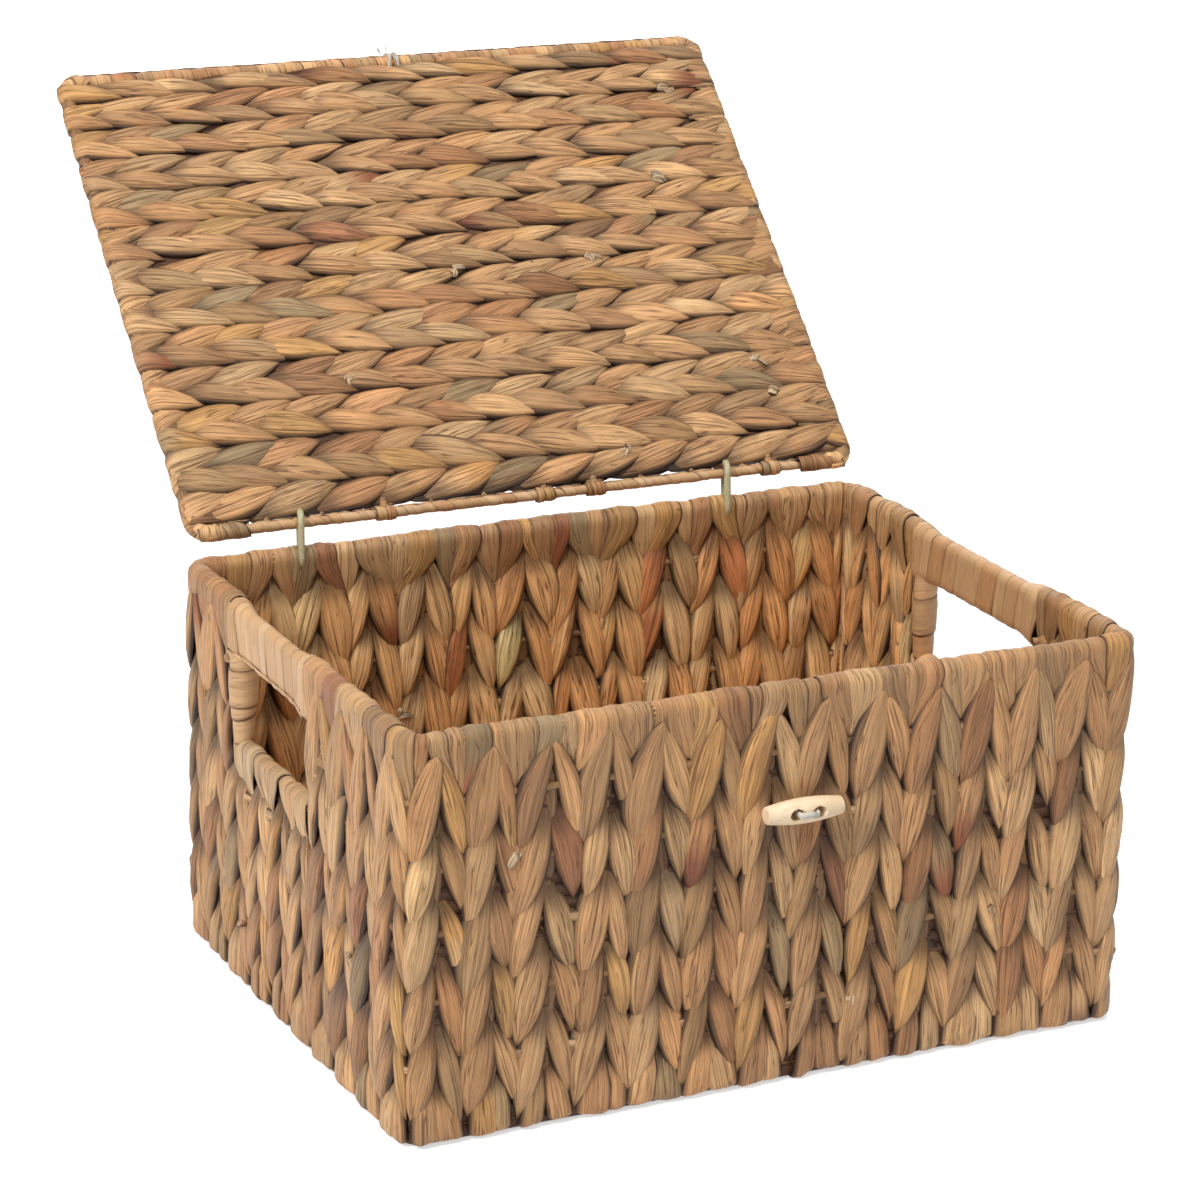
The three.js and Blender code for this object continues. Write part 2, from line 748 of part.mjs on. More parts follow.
// Where the strands bind a rod of the lid: a collar on the rod and a short neck to the weave.
function knuckle(from, to, rodY = 0) {
  const low = new THREE.Vector3(from, rodY, 0);
  const high = new THREE.Vector3(to, rodY, 0);
  const collar = solidOf(rod(low, high, lidKnuckleRadius, 2 * rodSides));
  const halfNeck = lidThick / 2 - lidCreaseDepth - fit;
  const [neckLow, neckHigh] = rodY > 0 ? [lidFrontY - overrun, rodY] : [rodY, lidRodGap + overrun];
  return collar.add(solidOf(box(from, to, neckLow, neckHigh, -halfNeck, halfNeck)));
}

function lidOutline() {
  const halfX = lidWidth / 2;
  const reach = lidReach + lidKnuckleRadius;
  const stations = roundedRectangle(halfX, reach / 2, lidCornerRadius, arcSteps);
  const plan = new THREE.Shape(stations.map(({ point }) => point));
  const geometry = new THREE.ExtrudeGeometry(plan, { depth: lidThick, bevelEnabled: false });
  geometry.translate(0, reach / 2 - lidKnuckleRadius, -lidThick / 2);
  return solidOf(geometry);
}

function buildLidWeave() {
  const edges = lidRowEdges();
  const crest = lidThick / 2;
  const crease = crest - lidCreaseDepth;
  const upper = rowProfile(edges, crest, crease);
  const lower = upper.map(({ x, y }) => new THREE.Vector2(x, -y)).reverse();
  const slab = solidOf(alongX([...upper, ...lower], lidWidth));
  const outer = lidWidth / 2 + overrun;
  const inner = lidWidth / 2 - lidCornerBlock;
  const half = lidKnuckleWidth / 2;
  const frontInner = lidWidth / 2 - lidCornerRadius;
  const bound = joined([
    slab,
    knuckle(-outer, -inner),
    knuckle(inner, outer),
    knuckle(-outer, -frontInner, frontRodY),
    knuckle(frontInner, outer, frontRodY),
    ...lidKnucklePlaces.map((x) => knuckle(x - half, x + half))
  ]);
  const cutters = [
    solidOf(hoop(lidRodLine, 0, tunnelRadius)),
    ...lidCrossPlaces().map((x) => solidOf(lidCross(x, tunnelRadius, fit)))
  ];
  addPiece(lid, 'lid_weave', without(bound.intersect(lidOutline()), cutters), strandFinish);
}

// The rear rod is wound between its bindings, the front rod from corner to corner.
function buildLidWraps() {
  const half = lidKnuckleWidth / 2;
  const inner = lidWidth / 2 - lidCornerBlock;
  const [leftBinding, rightBinding] = lidKnucklePlaces;
  const stretches = {
    left: [-inner, leftBinding - half],
    middle: [leftBinding + half, rightBinding - half],
    right: [rightBinding + half, inner]
  };
  for (const [name, [low, high]] of Object.entries(stretches)) {
    const run = high - low - 2 * fit;
    const turns = turnsIn(run, rearWrapPitch);
    const pitch = run / (turns + 3 / 2);
    const wrap = winding({
      name: `lid_rear_wrap_${name}`, radius: rodWrapRadius, thick: rearWrapThick,
      pitch, turns, tail: lidRodGap - fit
    });
    const start = new THREE.Vector3(low + fit + pitch / 2, 0, 0);
    placeWinding(wrap, new THREE.Vector3(1, 0, 0), new THREE.Vector3(0, 1, 0), start);
    addPiece(lid, `lid_rear_wrap_${name}`, wrap, peelFinish);
  }
  const frontRun = lidWidth - 2 * lidCornerRadius - 2 * fit;
  const frontTurns = turnsIn(frontRun, frontWrapPitch);
  const frontPitch = frontRun / (frontTurns + 3 / 2);
  const frontWrap = winding({
    name: 'lid_front_wrap', radius: rodWrapRadius, thick: frontWrapThick,
    pitch: frontPitch, turns: frontTurns, tail: frontRodY - lidFrontY - fit
  });
  const frontStart = new THREE.Vector3(-frontRun / 2 + frontPitch / 2, frontRodY, 0);
  placeWinding(frontWrap, new THREE.Vector3(1, 0, 0), new THREE.Vector3(0, -1, 0), frontStart);
  addPiece(lid, 'lid_front_wrap', frontWrap, peelFinish);
}

// The toggle turns about a short shank that is tied into the front wall.
const toggleHeight = cutHoopHeight + toggleRise;
const toggleY = -basketDepth / 2 - toggleStandOff - toggleRadius;
const shankEndY = -basketDepth / 2 + toggleShankDepth;

function shank(radius, end) {
  const from = new THREE.Vector3(toggleAcross, toggleY + toggleRadius + fit, toggleHeight);
  const to = new THREE.Vector3(toggleAcross, end, toggleHeight);
  return solidOf(rod(from, to, radius, 2 * rodSides));
}

function shankHole() {
  return shank(toggleShankRadius + fit, shankEndY + fit);
}

function buildToggle() {
  const halfLength = toggleLength / 2;
  const swellShares = [[-1, 0], [-1, -0.4], [-0.96, 0], [-0.7, 0.55], [-0.35, 0.88], [0, 1],
    [0.35, 0.88], [0.7, 0.55], [0.96, 0], [1, -0.4], [1, 0]];
  const profile = swellShares.map(([along, swell], index) => {
    const onAxis = index === 0 || index === swellShares.length - 1;
    const out = toggleEndRadius + (toggleRadius - toggleEndRadius) * swell;
    return new THREE.Vector2(onAxis ? 0 : out, along * halfLength);
  });
  const barrel = new THREE.LatheGeometry(profile, 2 * rodSides);
  barrel.rotateZ(quarterTurn);
  barrel.translate(toggleAcross, toggleY, toggleHeight);
  const holes = [-1, 1].map((sign) => {
    const x = toggleAcross + sign * toggleHoleSpacing / 2;
    const front = new THREE.Vector3(x, toggleY - toggleRadius - overrun, toggleHeight);
    const back = new THREE.Vector3(x, toggleY + toggleRadius + overrun, toggleHeight);
    return solidOf(rod(front, back, toggleHoleRadius, 2 * rodSides));
  });
  addPiece(model, 'toggle_button', without(solidOf(barrel), holes), woodFinish);
  addPiece(model, 'toggle_cord', toggleCord(), cordFinish);
}

// The flat cord runs round through both holes, and its shank is tied into the wall behind it.
function toggleCord() {
  const halfDeep = toggleRadius + fit + toggleCordThick / 2;
  const line = roundedRectangle(toggleHoleSpacing / 2, halfDeep, toggleCordBend);
  const halfThick = toggleCordThick / 2;
  const halfWide = toggleCordWidth / 2;
  const section = [[-1, -1], [1, -1], [1, 1], [-1, 1]].map(([out, up]) => (
    new THREE.Vector2(out * halfThick, up * halfWide)
  ));
  const band = bentBar(line, toggleHeight, section);
  band.translate(toggleAcross, toggleY, 0);
  return solidOf(band).add(shank(toggleShankRadius, shankEndY));
}

// The closing loop hangs from a knot behind the lid's front edge. Its points are counted from the
// knot's middle: across, and down.
const loopRoute = [
  [-2.2, -3.4], [-2.3, -8], [-2.9, -13], [-3.8, -18.5], [-4.7, -24], [-5.4, -29.5], [-5.8, -35],
  [-6.1, -40.5], [-6.3, -46], [-6.4, -51.5], [-6.4, -57], [-6, -61.5], [-4.4, -65.6], [-1.6, -67.8],
  [1.6, -67.8], [4.4, -65.6], [6, -61.5], [6.4, -57], [6.4, -51.5], [6.3, -46], [6.1, -40.5],
  [5.8, -35], [5.4, -29.5], [4.7, -24], [3.8, -18.5], [2.9, -13], [2.3, -8], [2.2, -3.4]
];

function buildLoop() {
  const knotPlace = new THREE.Vector3(loopAcross, lidReach + knotPast, -knotDrop);
  const knot = new THREE.SphereGeometry(knotRadius, 2 * rodSides, 2 * cornerSteps);
  knot.rotateZ(quarterTurn);
  knot.scale(knotLength / (2 * knotRadius), 1, 1);
  knot.translate(knotPlace.x, knotPlace.y, knotPlace.z);
  addPiece(lid, 'loop_knot', knot, cordFinish);

  lid.updateMatrixWorld(true);
  const hung = lid.localToWorld(knotPlace.clone());
  const points = loopRoute.map(([across, down]) => (
    new THREE.Vector3(hung.x + across, hung.y, hung.z + down)
  ));
  const line = new THREE.CatmullRomCurve3(points, false, 'centripetal');
  const steps = 30;
  const cordSides = 8;
  const rings = Array.from({ length: steps + 1 }, (_, step) => {
    const middle = line.getPointAt(step / steps);
    const heading = line.getTangentAt(step / steps);
    const across = heading.clone().cross(new THREE.Vector3(0, 1, 0));
    return Array.from({ length: cordSides }, (_, side) => {
      const angle = (side / cordSides) * fullTurn;
      const place = middle.clone().addScaledVector(across, loopCordRadius * Math.cos(angle));
      place.y += loopCordRadius * Math.sin(angle);
      return place;
    });
  });
  addPiece(model, 'closing_loop', skin(rings, false), cordFinish);
  console.log(`closing loop: ${line.getLength().toFixed(1)} mm long`);
}

buildHoops();
buildPosts();
buildOpeningRods();
buildFloorRods();
buildWalls();
buildFloor();
buildGrips();
buildJambWraps();
buildHingeRings();
buildLidRods();
buildLidWeave();
buildLidWraps();
lid.position.set(0, hingeY, hingeZ);
lid.rotation.x = THREE.MathUtils.degToRad(openDegrees);
buildToggle();
buildLoop();

export default model;
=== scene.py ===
import json
import math

import bpy
import numpy as np
from mathutils import Matrix, Vector


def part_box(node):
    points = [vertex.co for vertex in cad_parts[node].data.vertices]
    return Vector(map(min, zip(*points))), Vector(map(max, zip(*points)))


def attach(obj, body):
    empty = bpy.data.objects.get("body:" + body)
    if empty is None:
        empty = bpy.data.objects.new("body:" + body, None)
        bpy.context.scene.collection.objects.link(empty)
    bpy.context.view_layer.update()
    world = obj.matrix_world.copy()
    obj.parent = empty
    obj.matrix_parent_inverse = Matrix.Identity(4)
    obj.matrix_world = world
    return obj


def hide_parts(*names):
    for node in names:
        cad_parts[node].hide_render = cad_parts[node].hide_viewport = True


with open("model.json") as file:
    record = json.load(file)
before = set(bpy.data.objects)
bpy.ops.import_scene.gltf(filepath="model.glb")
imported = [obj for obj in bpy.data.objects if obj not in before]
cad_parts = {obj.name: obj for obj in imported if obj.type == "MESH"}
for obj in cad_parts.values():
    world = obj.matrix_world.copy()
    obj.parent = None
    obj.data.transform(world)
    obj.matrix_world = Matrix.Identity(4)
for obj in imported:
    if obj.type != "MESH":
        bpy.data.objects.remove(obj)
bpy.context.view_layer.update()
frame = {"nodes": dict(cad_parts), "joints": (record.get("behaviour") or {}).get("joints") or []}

mm = 0.001
print("scene: frame loaded")


def nodeBox(name):  # a CAD node's box in millimetres
    low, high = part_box(name)
    return np.array(low) / mm, np.array(high) / mm


def linear(colour):  # from 0-255 screen values to Blender's linear ones
    screen = np.array(colour) / 255
    return np.where(screen <= 0.04045, screen / 12.92, ((screen + 0.055) / 1.055) ** 2.4)


def paint(colour):  # the same, as a socket takes it
    return (*linear(colour), 1)


def ease(share):  # from 0 to 1, slow at both ends
    share = np.clip(share, 0, 1)
    return share * share * (3 - 2 * share)


def joined(*parts):  # arrays of x, y and z, or of run and level, as one array of points
    return np.stack(np.broadcast_arrays(*parts), -1)


def circle(count):  # angles once round
    return np.linspace(0, math.tau, count, endpoint=False)


def halfway(line):  # the middle between each two neighbours
    return (line[1:] + line[:-1]) / 2


def addObject(name, data):
    made = bpy.data.objects.new(name, data)
    bpy.context.collection.objects.link(made)
    return made


# Camera, at the photo's viewpoint
cameraLook = {
    "place": (-853.69, -1699.69, 827.57),
    "yaw": 25.872,
    "pitch": 18.145,
    "roll": 1.159,
    "sensor": 36.0,
    "lens": 118.62,
    "nearest": 50.0,
}


def addCamera(look):
    yaw, pitch, roll = (math.radians(look[key]) for key in ("yaw", "pitch", "roll"))
    forward = Vector((math.sin(yaw) * math.cos(pitch), math.cos(yaw) * math.cos(pitch), -math.sin(pitch)))
    level = Vector((math.cos(yaw), -math.sin(yaw), 0))
    upright = level.cross(forward)
    right = level * math.cos(roll) + upright * math.sin(roll)
    up = upright * math.cos(roll) - level * math.sin(roll)
    data = bpy.data.cameras.new("camera")
    data.sensor_width, data.lens, data.clip_start = look["sensor"], look["lens"], look["nearest"] * mm
    camera = addObject("camera", data)
    turn = Matrix((right, up, -forward)).transposed().to_4x4()
    camera.matrix_world = Matrix.Translation(Vector(look["place"]) * mm) @ turn
    bpy.context.scene.camera = camera


addCamera(cameraLook)
print("scene: camera")


# Node helpers
def setInputs(tree, node, inputs):
    for key, value in inputs.items():
        if isinstance(value, bpy.types.NodeSocket):
            tree.links.new(value, node.inputs[key])
        else:
            node.inputs[key].default_value = value


def addNode(tree, kind, inputs=None, **settings):
    made = tree.nodes.new("ShaderNode" + kind)
    for key, value in settings.items():
        setattr(made, key, value)
    setInputs(tree, made, inputs or {})
    return made


def newMaterial(name):
    material = bpy.data.materials.new(name)
    material.use_nodes = True
    tree = material.node_tree
    tree.nodes.clear()
    shader = addNode(tree, "BsdfPrincipled")
    addNode(tree, "OutputMaterial", {"Surface": shader.outputs["BSDF"]})
    return material, tree, shader


def spread(tree, value, low, high, outLow=0.0, outHigh=1.0):
    limits = {"Value": value, "From Min": low, "From Max": high, "To Min": outLow, "To Max": outHigh}
    return addNode(tree, "MapRange", limits).outputs["Result"]


def maths(tree, operation, first, second=0.0):
    return addNode(tree, "Math", {0: first, 1: second}, operation=operation).outputs["Value"]


def blendColour(tree, factor, first, second, mode="MIX"):
    made = addNode(tree, "Mix", {0: factor, 6: first, 7: second}, data_type="RGBA", blend_type=mode)
    return made.outputs[2]


def addNoise(tree, place, scale, detail):
    return addNode(tree, "TexNoise", {"Vector": place, "Scale": scale, "Detail": detail}).outputs["Fac"]


def addBump(tree, height, strength, distance):
    bump = {"Strength": strength, "Distance": distance, "Height": height}
    return addNode(tree, "Bump", bump).outputs["Normal"]


# The strands' colours and painted shade: fibres and fine folds run along each strand, in its own grain
# coordinates.
# Each kind of streak is given as how close across, how close along, how fine and how bent
strandColoursAndShade = {
    # wrinkles: lighter and darker bands of painted shade that follow the bump's wrinkles
    "wrinkles": (0.42, 0.013, 2.0, 0.5),
    "wrinkleSpan": (0.34, 0.62),
    "wrinkleShade": (0.84, 1.12),
    "wrinkleDepth": 1.8,
    "fibres": (2.2, 0.05, 4.0, 0.0),
    "fibreSpan": (0.38, 0.66),
    "fibreDark": 0.72,
    "fibreDepth": 0.55,
    # folds and creases: thin dark lines of painted shade in the creases, and dents in the bump
    "folds": (0.32, 0.009, 2.0, 0.4),
    "foldWidth": 0.027,
    "foldColour": (88, 50, 27),
    "foldShare": 0.88,
    "creases": (0.8, 0.02, 2.0, 0.4),
    "creaseWidth": 0.032,
    "creaseShare": 0.68,
    "gathers": (0.12, 0.045, 2.0, 0.0),
    "gatherSpan": (0.42, 0.60),
    "blotches": (0.09, 0.03, 3.0, 0.0),
    "blotchSpan": (0.52, 0.72),
    "blotchColour": (164, 110, 68),
    "blotchShare": 0.34,
    # edge colour: painted shade, mixed in by the shade attribute at the strands' sides, undersides, hidden
    # starts and tips
    "edgeColour": (38, 20, 10),
    "edgeShare": 0.97,
    "shadeCrisp": 1.05,
    "streakRough": 0.6,
    "roughSpan": (0.3, 0.7),
    "roughness": (0.42, 0.64),
    "specular": 0.42,
    "bumpDepth": 0.0005,
    "bumpStrength": 0.7,
}
# The edge colours below are painted shade, and the fold colours are painted shade in the creases, as above
liningColoursAndShade = {**strandColoursAndShade, "foldColour": (98, 54, 27), "blotchShare": 0.45, "fibreDark": 0.80,
                "creaseShare": 0.55}
bandColoursAndShade = {**strandColoursAndShade, "folds": (0.2, 0.012, 2.0, 0.4), "foldWidth": 0.022, "foldShare": 0.72,
              "creaseShare": 0.45, "fibreDark": 0.80, "edgeColour": (54, 31, 17)}
peelColoursAndShade = {**strandColoursAndShade, "wrinkleShade": (0.93, 1.03), "wrinkleDepth": 0.8, "fibreDark": 0.88,
              "fibres": (1.9, 0.03, 4.0, 0.0), "folds": (0.2, 0.010, 2.0, 0.4), "foldWidth": 0.016,
              "foldColour": (150, 108, 66), "foldShare": 0.45, "creaseShare": 0.3, "blotchShare": 0.22,
              "blotchColour": (196, 150, 104), "edgeColour": (92, 56, 32), "edgeShare": 0.88,
              "roughness": (0.36, 0.58), "bumpDepth": 0.0004}


def strandMaterial(name, look):
    material, tree, shader = newMaterial(name)
    grain = addNode(tree, "UVMap", uv_map="grain").outputs["UV"]
    tint = addNode(tree, "Attribute", attribute_name="tint").outputs["Color"]
    shade = addNode(tree, "Attribute", attribute_name="shade").outputs["Fac"]

    def streaks(kind):
        across, along, detail, bend = look[kind]
        place = addNode(tree, "Mapping", {"Vector": grain, "Scale": (across, along, 1)}).outputs["Vector"]
        made = {"Vector": place, "Scale": 1.0, "Detail": detail, "Roughness": look["streakRough"],
                "Distortion": bend}
        return addNode(tree, "TexNoise", made, noise_dimensions="2D").outputs["Fac"]

    def thinLines(kind, width):  # where a slow wave crosses its middle
        away = maths(tree, "ABSOLUTE", maths(tree, "SUBTRACT", streaks(kind), 0.5))
        return spread(tree, away, 0.0, look[width], 1.0, 0.0)

    wrinkles, fibres = streaks("wrinkles"), streaks("fibres")
    wrinkled = spread(tree, wrinkles, *look["wrinkleSpan"], *look["wrinkleShade"])
    tint = blendColour(tree, 1.0, tint, wrinkled, "MULTIPLY")
    gathers = spread(tree, streaks("gathers"), *look["gatherSpan"])
    # the thin dark crease and fold lines are painted shade in the creases
    creases = maths(tree, "MULTIPLY", thinLines("creases", "creaseWidth"), gathers)
    creases = maths(tree, "MULTIPLY", creases, look["creaseShare"])
    folds = maths(tree, "MAXIMUM", thinLines("folds", "foldWidth"), creases)
    blotches = spread(tree, streaks("blotches"), *look["blotchSpan"])
    between = spread(tree, fibres, *look["fibreSpan"], 1.0, 0.0)
    darker = blendColour(tree, 1.0, tint, (*[look["fibreDark"]] * 3, 1), "MULTIPLY")
    colour = blendColour(tree, between, tint, darker)
    # painted shade: the shade attribute, sharpened, mixes in the dark edge colour
    edges = maths(tree, "POWER", shade, look["shadeCrisp"])
    for kind, amount in (("blotch", blotches), ("fold", folds), ("edge", edges)):
        amount = maths(tree, "MULTIPLY", amount, look[kind + "Share"])
        colour = blendColour(tree, amount, colour, paint(look[kind + "Colour"]))
    raised = maths(tree, "SUBTRACT", maths(tree, "MULTIPLY", fibres, look["fibreDepth"]), folds)
    raised = maths(tree, "ADD", raised, maths(tree, "MULTIPLY", wrinkles, look["wrinkleDepth"]))
    setInputs(tree, shader, {
        "Base Color": colour,
        "Roughness": spread(tree, fibres, *look["roughSpan"], *look["roughness"]),
        "Specular IOR Level": look["specular"],
        "Normal": addBump(tree, raised, look["bumpStrength"], look["bumpDepth"])})
    return material


strandLook = strandMaterial("driedStrand", strandColoursAndShade)
liningLook = strandMaterial("warmStrand", liningColoursAndShade)
bandLook = strandMaterial("flatStrand", bandColoursAndShade)
peelLook = strandMaterial("palePeel", peelColoursAndShade)

# Colours of single strands, each with its share of the strands
outerTones = {
    (217, 165, 112): 0.36,
    (228, 180, 126): 0.24,
    (219, 166, 102): 0.08,
    (209, 154, 104): 0.10,
    (193, 150, 101): 0.08,
    (178, 147, 104): 0.05,
    (190, 136, 89): 0.08,
    (174, 118, 80): 0.007,
    (150, 110, 80): 0.003,
}
rimTones = {tuple(0.90 * part for part in tone): share for tone, share in outerTones.items()}
sillTones = {(222, 182, 134): 0.50, (213, 170, 122): 0.30, (230, 194, 148): 0.20}
# the lining's own warmer tones, painted lighter to stand in for the light that the shaded inside lacks
innerTonesWithPaintedLight = {
    (248, 190, 127): 0.36,
    (250, 202, 142): 0.27,
    (242, 178, 115): 0.19,
    (214, 171, 122): 0.09,
    (212, 138, 88): 0.07,
    (190, 116, 74): 0.006,
    (160, 118, 90): 0.004,
}
peelTones = {(216, 173, 126): 0.50, (210, 165, 118): 0.30, (223, 182, 138): 0.14, (202, 153, 106): 0.06}
pithTones = {(222, 196, 160): 0.6, (212, 180, 140): 0.4}
# a dark tone for fillers that show only through gaps: painted shadow
gapShadowTones = {(92, 58, 34): 1.0}
stemTones = {(150, 112, 70): 1.0}
tintLook = {"uneven": 0.125, "calm": 0.035, "warmth": 0.2, "darkest": 0.01, "oneColour": 0.84,
            "farEnd": (0.84, 1.08), "rustFrom": 0.965, "rustTone": (160, 94, 60), "rustLight": (0.8, 1.3),
            "turnAt": (0.35, 0.75), "turnSharp": 3.0}


def drawTones(dice, count, tones, uneven=tintLook["uneven"]):
    colours = np.array([linear(tone) for tone in tones])
    shares = np.array(list(tones.values()))
    picked = colours[dice.choice(len(colours), count, p=shares / shares.sum())]
    light = dice.normal(1, uneven, (count, 1))
    warmth = dice.normal(0, uneven * tintLook["warmth"], (count, 1)) * np.array([[1, 0, -1]])
    return np.clip(picked * light * (1 + warmth), tintLook["darkest"], 1)


def tintStrands(dice, strands, tones, calm):
    # a colour for each point: most strands keep one, some run into another towards one end
    look = tintLook
    count = len(strands["along"])
    if calm:
        return drawTones(dice, count, tones, look["calm"])[:, None, None, :]
    first = drawTones(dice, count, tones)
    kind = dice.random((count, 1))
    second = np.where(kind < look["oneColour"], first * dice.uniform(*look["farEnd"], (count, 1)),
                      drawTones(dice, count, tones))
    rust = linear(look["rustTone"]) * dice.uniform(*look["rustLight"], (count, 1))
    second = np.where(kind > look["rustFrom"], rust, second)
    along = np.where(dice.random((count, 1, 1)) < 0.5, strands["along"], 1 - strands["along"])
    turn = ease((along - each(dice.uniform, count, *look["turnAt"])) * look["turnSharp"])[..., None]
    return first[:, None, None, :] * (1 - turn) + second[:, None, None, :] * turn


# Meshes
def meshPiece(name, heap):
    # heap is a list of (rings, grain, tint, shade, closed); rings are strands, stations, points round
    places, grains, tints, shades, faces, caps = [], [], [], [], [], []
    base = 0
    for rings, grain, tint, shade, closed in heap:
        shape = rings.shape[:3]
        index = base + np.arange(math.prod(shape)).reshape(shape)
        beside = np.roll(index, -1, axis=2)
        quads = np.stack([index, beside, np.roll(beside, -1, axis=1), np.roll(index, -1, axis=1)], -1)
        ends = []
        if not closed:
            quads = quads[:, :-1]
            ends = [index[:, 0, ::-1], index[:, -1, :]]
        quads = quads.reshape(-1, 4)
        flat = (rings - rings.reshape(shape[0], -1, 3).mean(1)[:, None, None, :]).reshape(-1, 3)
        corner = [flat[quads[:, side] - base] for side in range(4)]
        volume = np.sum(corner[0] * np.cross(corner[1] - corner[3], corner[2]))
        if volume < 0:  # turned inside out
            quads = quads[:, ::-1]
            ends = [end[:, ::-1] for end in ends]
        faces.append(quads)
        caps += ends
        places.append(rings.reshape(-1, 3))
        grains.append(np.broadcast_to(grain, (*shape, 2)).reshape(-1, 2))
        tints.append(np.broadcast_to(tint, rings.shape).reshape(-1, 3))
        shades.append(np.broadcast_to(shade, shape).reshape(-1))
        base += math.prod(shape)
    corners = np.concatenate([group.reshape(-1) for group in faces + caps])
    totals = np.concatenate([np.full(len(group), group.shape[-1]) for group in faces + caps])
    starts = np.concatenate([[0], np.cumsum(totals)[:-1]])
    colours = np.concatenate([np.concatenate(tints), np.ones((base, 1))], 1)
    mesh = bpy.data.meshes.new(name)
    mesh.vertices.add(base)
    mesh.loops.add(len(corners))
    mesh.polygons.add(len(totals))
    mesh.vertices.foreach_set("co", (np.concatenate(places) * mm).astype(np.float32).ravel())
    mesh.loops.foreach_set("vertex_index", corners.astype(np.int32))
    mesh.polygons.foreach_set("loop_start", starts.astype(np.int32))
    mesh.polygons.foreach_set("loop_total", totals.astype(np.int32))
    mesh.polygons.foreach_set("use_smooth", np.ones(len(totals), bool))
    mesh.update(calc_edges=True)
    mesh.uv_layers.new(name="grain").data.foreach_set(
        "uv", np.concatenate(grains)[corners].astype(np.float32).ravel())
    mesh.color_attributes.new("tint", "FLOAT_COLOR", "POINT").data.foreach_set(
        "color", colours.astype(np.float32).ravel())
    mesh.attributes.new("shade", "FLOAT", "POINT").data.foreach_set(
        "value", np.concatenate(shades).astype(np.float32))
    return addObject(name, mesh)


def addPiece(name, heap, material, body, replaced=()):
    piece = meshPiece(name, heap)
    piece.data.materials.append(material)
    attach(piece, body)
    if replaced:
        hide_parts(*replaced)
    return piece


# Strands are laid on a surface as run (across it), level (along it) and height (off it)
sectionLook = {"crowded": 0.55, "underWide": 0.66}
grainLook = {"field": (400, 4000), "barStep": 37}  # how far apart in the grain strands may be put
leafShape = {"stations": 15, "top": 13, "under": 3, "blunt": (0.42, 0.90), "lopsided": (0.85, 1.2),
             "tip": 0.06, "bulge": 4.2, "steep": 3.6, "thin": 0.7, "thick": 0.9, "sunk": 0.3, "fold": 0.40,
             "foldTurns": (0.8, 1.5), "foldDrift": 0.5, "foldCrisp": 0.7, "foldDeep": (0.4, 1.0),
             "roll": 2.0, "flare": 0.0}
wedgeShape = {**leafShape, "flare": 0.42, "flareOver": 0.6, "bulge": 3.0, "steep": 4.0}  # to a blunt end
# deep strands are painted in shade: their shade never falls below this
deepShape = {**leafShape, "stations": 8, "top": 7, "bulge": 2.0, "shade": 0.62}
bandShape = {"top": 9, "under": 3, "thick": 1.5, "bulge": 0.45, "steep": 2.5, "fold": 0.14,
             "foldTurns": (1.3, 2.6), "foldDrift": 0.8}
foldShape = {**bandShape, "top": 11, "fold": 0.3, "bulge": 0.8}
foldUneven = (0.8, 1.25)
# Painted shade in the shade attribute: at a strand's sides, where it meets its neighbours, and underneath
# it; a painted shadow on its start hidden under the row above; and at its tip
shadeLook = {"leafSides": (0.60, 0.90), "bandSides": (0.8, 1.0), "hidden": 0.44, "startShade": 0.7,
             "startSoft": 0.25, "tipShade": 0.6, "tipSoft": 0.1}


def each(draw, count, *limits):  # one random number for each strand
    return draw(*limits, (count, 1, 1))


def foldPhase(dice, count, most, drift, along):  # where a strand's folds lie, drifting along it
    return each(dice.uniform, count, 0, most) + each(dice.normal, count, 0, drift) * along


def scatter(dice, count, aside, upward):  # a random step for each of a number of places
    return np.stack([dice.normal(0, aside, count), dice.normal(0, upward, count)], 1)


def roundStrand(shape):
    # a strand's section: how far across each point lies, from -1 to 1, and which points are under it
    line = np.linspace(-1, 1, shape["top"])
    crest = line + sectionLook["crowded"] * (np.sin(line * math.pi / 2) - line)
    below = sectionLook["underWide"] * np.linspace(1, -1, shape["under"])
    under = np.repeat([False, True], [shape["top"], shape["under"]])
    return np.concatenate([crest, below])[None, None, :], under[None, None, :]


# painted shade: 1 under a strand, rising towards its sides
def sideShade(across, under, clear, full):
    return np.where(under, 1.0, np.clip((np.abs(across) - clear) / (full - clear), 0, 1))


def strandSet(dice, run, level, height, shade, along, aside, passed):
    # a set of strands in one dictionary, each with a place of its own in the grain
    count = len(run)
    farAside, farAlong = grainLook["field"]
    grain = joined(aside + each(dice.uniform, count, 0, farAside),
                   passed + each(dice.uniform, count, 0, farAlong))
    parts = np.broadcast_arrays(run, level, height, shade, along)
    return {"grain": grain, **dict(zip(("run", "level", "height", "shade", "along"), parts))}


